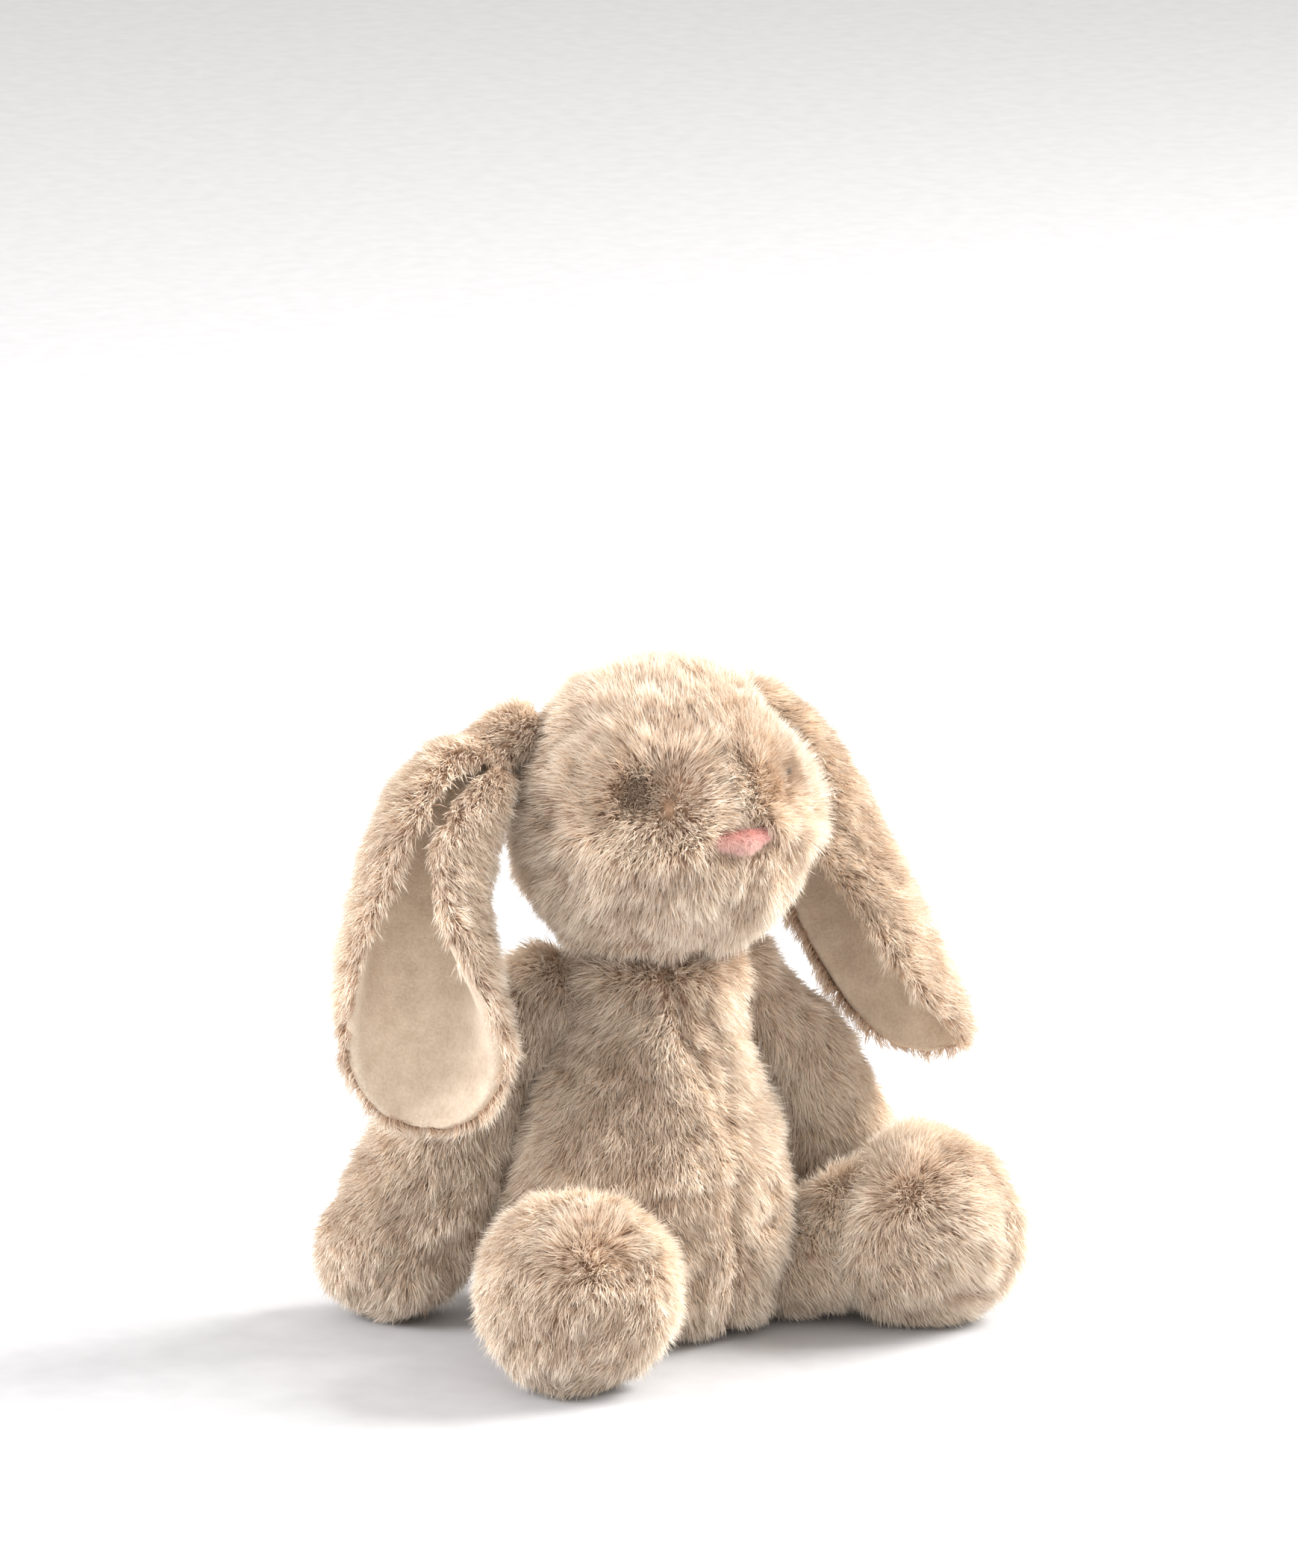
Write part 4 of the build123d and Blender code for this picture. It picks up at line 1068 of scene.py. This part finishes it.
EAR_FUR_DEPTH = 6.5
EAR_ROOT_FUR_DEPTH = 3.0
LINING_INSET = 1.0
EAR_ROOT_RADIUS = 8.0
LINING_ROOT_RADIUS = 2.5
LINING_ROOT_HEIGHT = 5.0
LINING_START = 0.2
LINING_FOLD = 2.4
EAR_PILE = 9.5


def ear_sections(side):
    """Each row's centre, two section directions, lining radius, curl, wall and openness."""
    table = [(*centre, *along, *face, *section) for centre, along, face, *section in EARS[side]]
    rows = spline_through(table, EAR_ROWS)
    centres, along, face = rows[:, :3] + EAR_PIVOT, unit(rows[:, 3:6]), rows[:, 6:9]
    face = unit(face - along * np.sum(face * along, axis=1, keepdims=True))
    across = np.cross(face, along)
    curl = np.radians(rows[:, 10])
    radius = np.maximum(rows[:, 9], 2) / (2 * curl)
    return centres, across, face, radius, curl, rows[:, 11], np.clip(rows[:, 12], 0, 1)


def ear_surface(sections, profile):
    """Skin from a profile that gives (x, height) of points round each row's section."""
    centres, across, face, radius, curl, wall, openness = sections
    rows = []
    for i in range(EAR_ROWS):
        flat = profile(radius[i], curl[i], wall[i], openness[i], i / (EAR_ROWS - 1))
        rows.append(centres[i] + np.outer(flat[:, 0], across[i]) + np.outer(flat[:, 1], face[i]))
    columns = len(rows[0])
    return Skin(np.concatenate(rows), grid_quads(EAR_ROWS, columns, closed=False))


def arc(radius, middle, angles):
    return np.stack([radius * np.sin(angles), middle - radius * np.cos(angles)], axis=1)


def trough_rim(radius, thickness, middle, curl, side_of_rim, turns):
    """Rounded edge between the lined inside and the furred outside of one rim."""
    half = thickness / 2
    swing = side_of_rim * curl
    edge = arc(np.array([radius + half]), middle, np.array([swing]))[0]
    outward = np.array([math.sin(swing), -math.cos(swing)])
    onward = np.array([math.cos(swing), math.sin(swing)]) * side_of_rim
    return edge + half * (np.outer(-np.cos(turns), outward) + np.outer(np.sin(turns), onward))


def padding_thickness(wall, along):
    """Wall under the fur; the fur sits less deep near the root, where the ear's rod is."""
    depth = EAR_ROOT_FUR_DEPTH + (EAR_FUR_DEPTH - EAR_ROOT_FUR_DEPTH) * smoothstep(0.25, 0.5, along)
    return max(wall - depth + LINING_INSET, 1.0)


def from_root(trough, root_radius, root_height, openness):
    """Section part of the way from the round root to the trough."""
    turns = np.linspace(-np.pi, np.pi, len(trough))
    root = root_radius * np.stack([np.sin(turns), -np.cos(turns)], axis=1) + [0, root_height]
    return root * (1 - openness) + trough * openness


def lining_profile(radius, curl, wall, openness, along):
    """Inside of the trough, carried a little way over both rims."""
    middle = radius + wall / 2
    inner = radius - LINING_INSET
    thickness = padding_thickness(wall, along)
    over_rim = np.linspace(0, 1.9, 6)
    left = trough_rim(inner, thickness, middle, curl, -1, over_rim)[::-1]
    right = trough_rim(inner, thickness, middle, curl, 1, over_rim)
    inside = arc(inner, middle, np.linspace(-curl, curl, 41))[1:-1]
    trough = np.concatenate([left, inside, right])
    return from_root(trough, LINING_ROOT_RADIUS, LINING_ROOT_HEIGHT, openness)


def outside_profile(radius, curl, wall, openness, along):
    """Furred outside of the ear: round at the root, then the back of the trough and its rims."""
    middle = radius + wall / 2
    inner = radius - LINING_INSET
    thickness = padding_thickness(wall, along)
    over_rim = np.linspace(1.7, np.pi, 6)
    left = trough_rim(inner, thickness, middle, curl, -1, over_rim)
    right = trough_rim(inner, thickness, middle, curl, 1, over_rim)[::-1]
    outside = arc(inner + thickness, middle, np.linspace(-curl, curl, 41))[1:-1]
    return from_root(np.concatenate([left, outside, right]), EAR_ROOT_RADIUS, 0.0, openness)


def folded_lining(sections):
    """Velour leaf with soft lengthwise folds, from where the trough starts to open."""
    whole = ear_surface(sections, lining_profile)
    columns = len(whole.points) // EAR_ROWS
    first = int(np.argmax(sections[-1] > LINING_START)) * (columns - 1)
    leaf = Skin(whole.points, whole.quads[first:, ::-1])
    fold = 0.3 * noise(leaf.points, 9, 71) + LINING_FOLD * noise(leaf.points * [1, 1, 0.4], 17, 72)
    return Skin(leaf.points + leaf.normals * fold[:, None], leaf.quads)


def build_ear(side, fur, backing, velour):
    sections = ear_sections(side)
    leaf = cloth_object(f"ear_lining_leaf_{side}", folded_lining(sections), velour, "ears")
    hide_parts(f"ear_lining_{side}")
    outside = ear_surface(sections, outside_profile)
    stuffed_object(f"ear_skin_{side}", outside, backing, "ears", f"ear_plush_{side}")

    centres = sections[0]
    along = unit(np.gradient(centres, axis=0))

    def comb(points, normals):
        nearest = np.argmin(((points[:, None, :] - centres[None, ::4, :]) ** 2).sum(axis=2), axis=1) * 4
        return along[nearest] * 0.9 + np.array([0, 0, -0.35])

    coat = Coat(comb, lean=constant(44), wander=42)
    half = len(outside.quads) // 2
    for part, quads, seed in (("upper", outside.quads[:half], 100), ("lower", outside.quads[half:], 101)):
        panel = Skin(outside.points, quads)
        fur_object(f"ear_fur_{part}_{side}", panel, coat, "ears", fur, seed, pile=EAR_PILE)


# ---- Limbs ----

FOOT_WHORL_REACH = 13.0


def toward_tip_comb(start, end, whorl=None):
    """Fur that lies along a limb, and turns away from a whorl if there is one."""
    axis = unit(np.asarray(end, float) - np.asarray(start, float))
    far, near_by = FOOT_WHORL_REACH * 2.2, FOOT_WHORL_REACH * 0.6

    def comb(points, normals):
        lie = np.tile(axis + np.array([0, 0, -0.35]), (len(points), 1))
        if whorl is not None:
            near = smoothstep(far, near_by, np.linalg.norm(points - whorl, axis=1))
            lie = lie * (1 - near)[:, None] + unit(points - whorl) * near[:, None] * 1.4
        return lie

    return comb


PAW_RADIUS = 28.0
SHOULDER_X = 34.0
SHOULDER_Y = {"right": 15.0, "left": 7.0}
SHOULDER_HEIGHT = 151.0


def build_arm(side, fur, backing):
    node, body = f"arm_plush_{side}", f"arm_{side}"
    low, high = node_box(node)
    sign = side_sign(side)
    paw_x = low[0] + PAW_RADIUS if side == "right" else high[0] - PAW_RADIUS
    paw_y = high[1] - PAW_RADIUS if side == "right" else (low[1] + high[1]) / 2
    paw = np.array([paw_x, paw_y, PAW_RADIUS + 0.5])
    shoulder = np.array([sign * SHOULDER_X, SHOULDER_Y[side], SHOULDER_HEIGHT])
    elbow = shoulder * 0.5 + paw * 0.5 + np.array([sign * 3.0, 1.0, 4.0])
    stations = [
        (*shoulder, 6, 5),
        (*(shoulder * 0.93 + paw * 0.07), 15, 13),
        (*(shoulder * 0.75 + paw * 0.25), 19, 15),
        (*elbow, 23, 18),
        (*(shoulder * 0.2 + paw * 0.8), 26, 21),
        (*paw, 26, 23),
    ]
    stations = rounded_end(stations, paw, unit(paw - elbow), PAW_RADIUS - SKIN_DEPTH)
    skin = roughened(limb_skin(stations, CAMERA_RIGHT), 1.2, 26, 40 + int(sign))
    stuffed_object(f"arm_skin_{side}", skin, backing, body, node)
    coat = Coat(toward_tip_comb(shoulder, paw), wander=38)
    fur_object(f"arm_fur_{side}", skin, coat, body, fur, 30 + int(sign))


HIP_REACH = 52.0
HIP_HEIGHT = 26.0
FOOT_TURNS = np.radians([-58, -38, -15, 5, 25, 45, 62, 75, 84, 90])
WHORL_FACING = unit(np.array([-0.56, -0.80, 0.97]))
WHORL_ASIDE = {"right": 8, "left": -9}


def build_leg(side, fur, backing):
    node, body = f"leg_plush_{side}", f"leg_{side}"
    sign = side_sign(side)
    foot, out = foot_centre(side), leg_direction(side)
    hip = out * HIP_REACH + np.array([0, 0, HIP_HEIGHT])
    ball = FOOT_RADIUS - SKIN_DEPTH
    stations = [(*hip, 8, 8), (*(hip + out * 4), 18, 18), (*(hip + out * 16), 20, 20)]
    for turn in FOOT_TURNS:
        spot = foot + out * ball * math.sin(turn)
        size = max(ball * math.cos(turn), THINNEST)
        stations.append((*spot, size, size * 1.03))
    across = np.array([-out[1], out[0], 0])
    skin = roughened(limb_skin(stations, across, rows=90), 1.3, 28, 50 + int(sign))
    stuffed_object(f"leg_skin_{side}", skin, backing, body, node)
    whorl = foot + WHORL_FACING * ball + CAMERA_RIGHT * WHORL_ASIDE[side]
    coat = Coat(
        toward_tip_comb(foot, foot + out + [0, 0, -0.9], whorl),
        length=lambda points: 1 - 0.3 * smoothstep(16, 2, np.linalg.norm(points - whorl, axis=1)),
        lean=lambda points: LEAN - 32 * smoothstep(20, 2, np.linalg.norm(points - whorl, axis=1)),
        wander=34,
    )
    fur_object(f"leg_fur_{side}", skin, coat, body, fur, 60 + int(sign))


TAIL_RADII = (10.5, 10.5, 10.5)
TAIL_SINK = 14.0
TAIL_PILE = 9.0


def build_tail(fur, backing):
    low, high = node_box("tail_plush")
    centre = (low + high) / 2
    centre[1] = high[1] - TAIL_SINK
    skin = ball_skin(centre, TAIL_RADII, 30, 40)
    stuffed_object("tail_skin", skin, backing, "torso", "tail_plush")
    coat = Coat(one_way(0.1, 0.3, -1.0), lean=constant(25), wander=80)
    fur_object("tail_fur", skin, coat, "torso", fur, 80, pile=TAIL_PILE)


# ---- Making it ----

bpy.context.scene.view_settings.view_transform = "Standard"
add_camera()
add_floor()
add_lights()

FUR = fur_material(
    "long_fur", srgb(210, 176, 149), srgb(255, 234, 211), srgb(255, 250, 239),
    srgb(204, 192, 182), srgb(255, 255, 255),
)
BACKING = backing_material("fur_backing", srgb(212, 180, 154), srgb(190, 158, 132))
VELOUR = velour_material()
LINING_CLOTH = backing_material("lining_cloth", srgb(226, 214, 198), srgb(206, 192, 174))
NOSE_CLOTH = nose_material()
NOSE_FUZZ = fur_material(
    "nose_fuzz", srgb(232, 172, 166), srgb(250, 208, 200), srgb(255, 232, 222),
    srgb(224, 172, 178), srgb(255, 255, 255),
)
# Eye fur: dark partly for the eye beads it covers and partly as painted shade in the eye hollows.
EYE_FUR = fur_material(
    "eye_fur", srgb(104, 86, 73), srgb(152, 131, 112), srgb(192, 170, 148),
    srgb(190, 180, 174), srgb(255, 255, 255),
)

build_body(FUR, BACKING)
build_flap(FUR, LINING_CLOTH)
build_pocket(LINING_CLOTH)
build_head(FUR, BACKING)
build_nose(NOSE_CLOTH, NOSE_FUZZ)
for eye_side in SIDES:
    build_eye_hollow(eye_side, EYE_FUR)
for limb_side in SIDES:
    build_arm(limb_side, FUR, BACKING)
    build_leg(limb_side, FUR, BACKING)
    build_ear(limb_side, FUR, BACKING, VELOUR)
build_tail(FUR, BACKING)
finish_inner_parts()
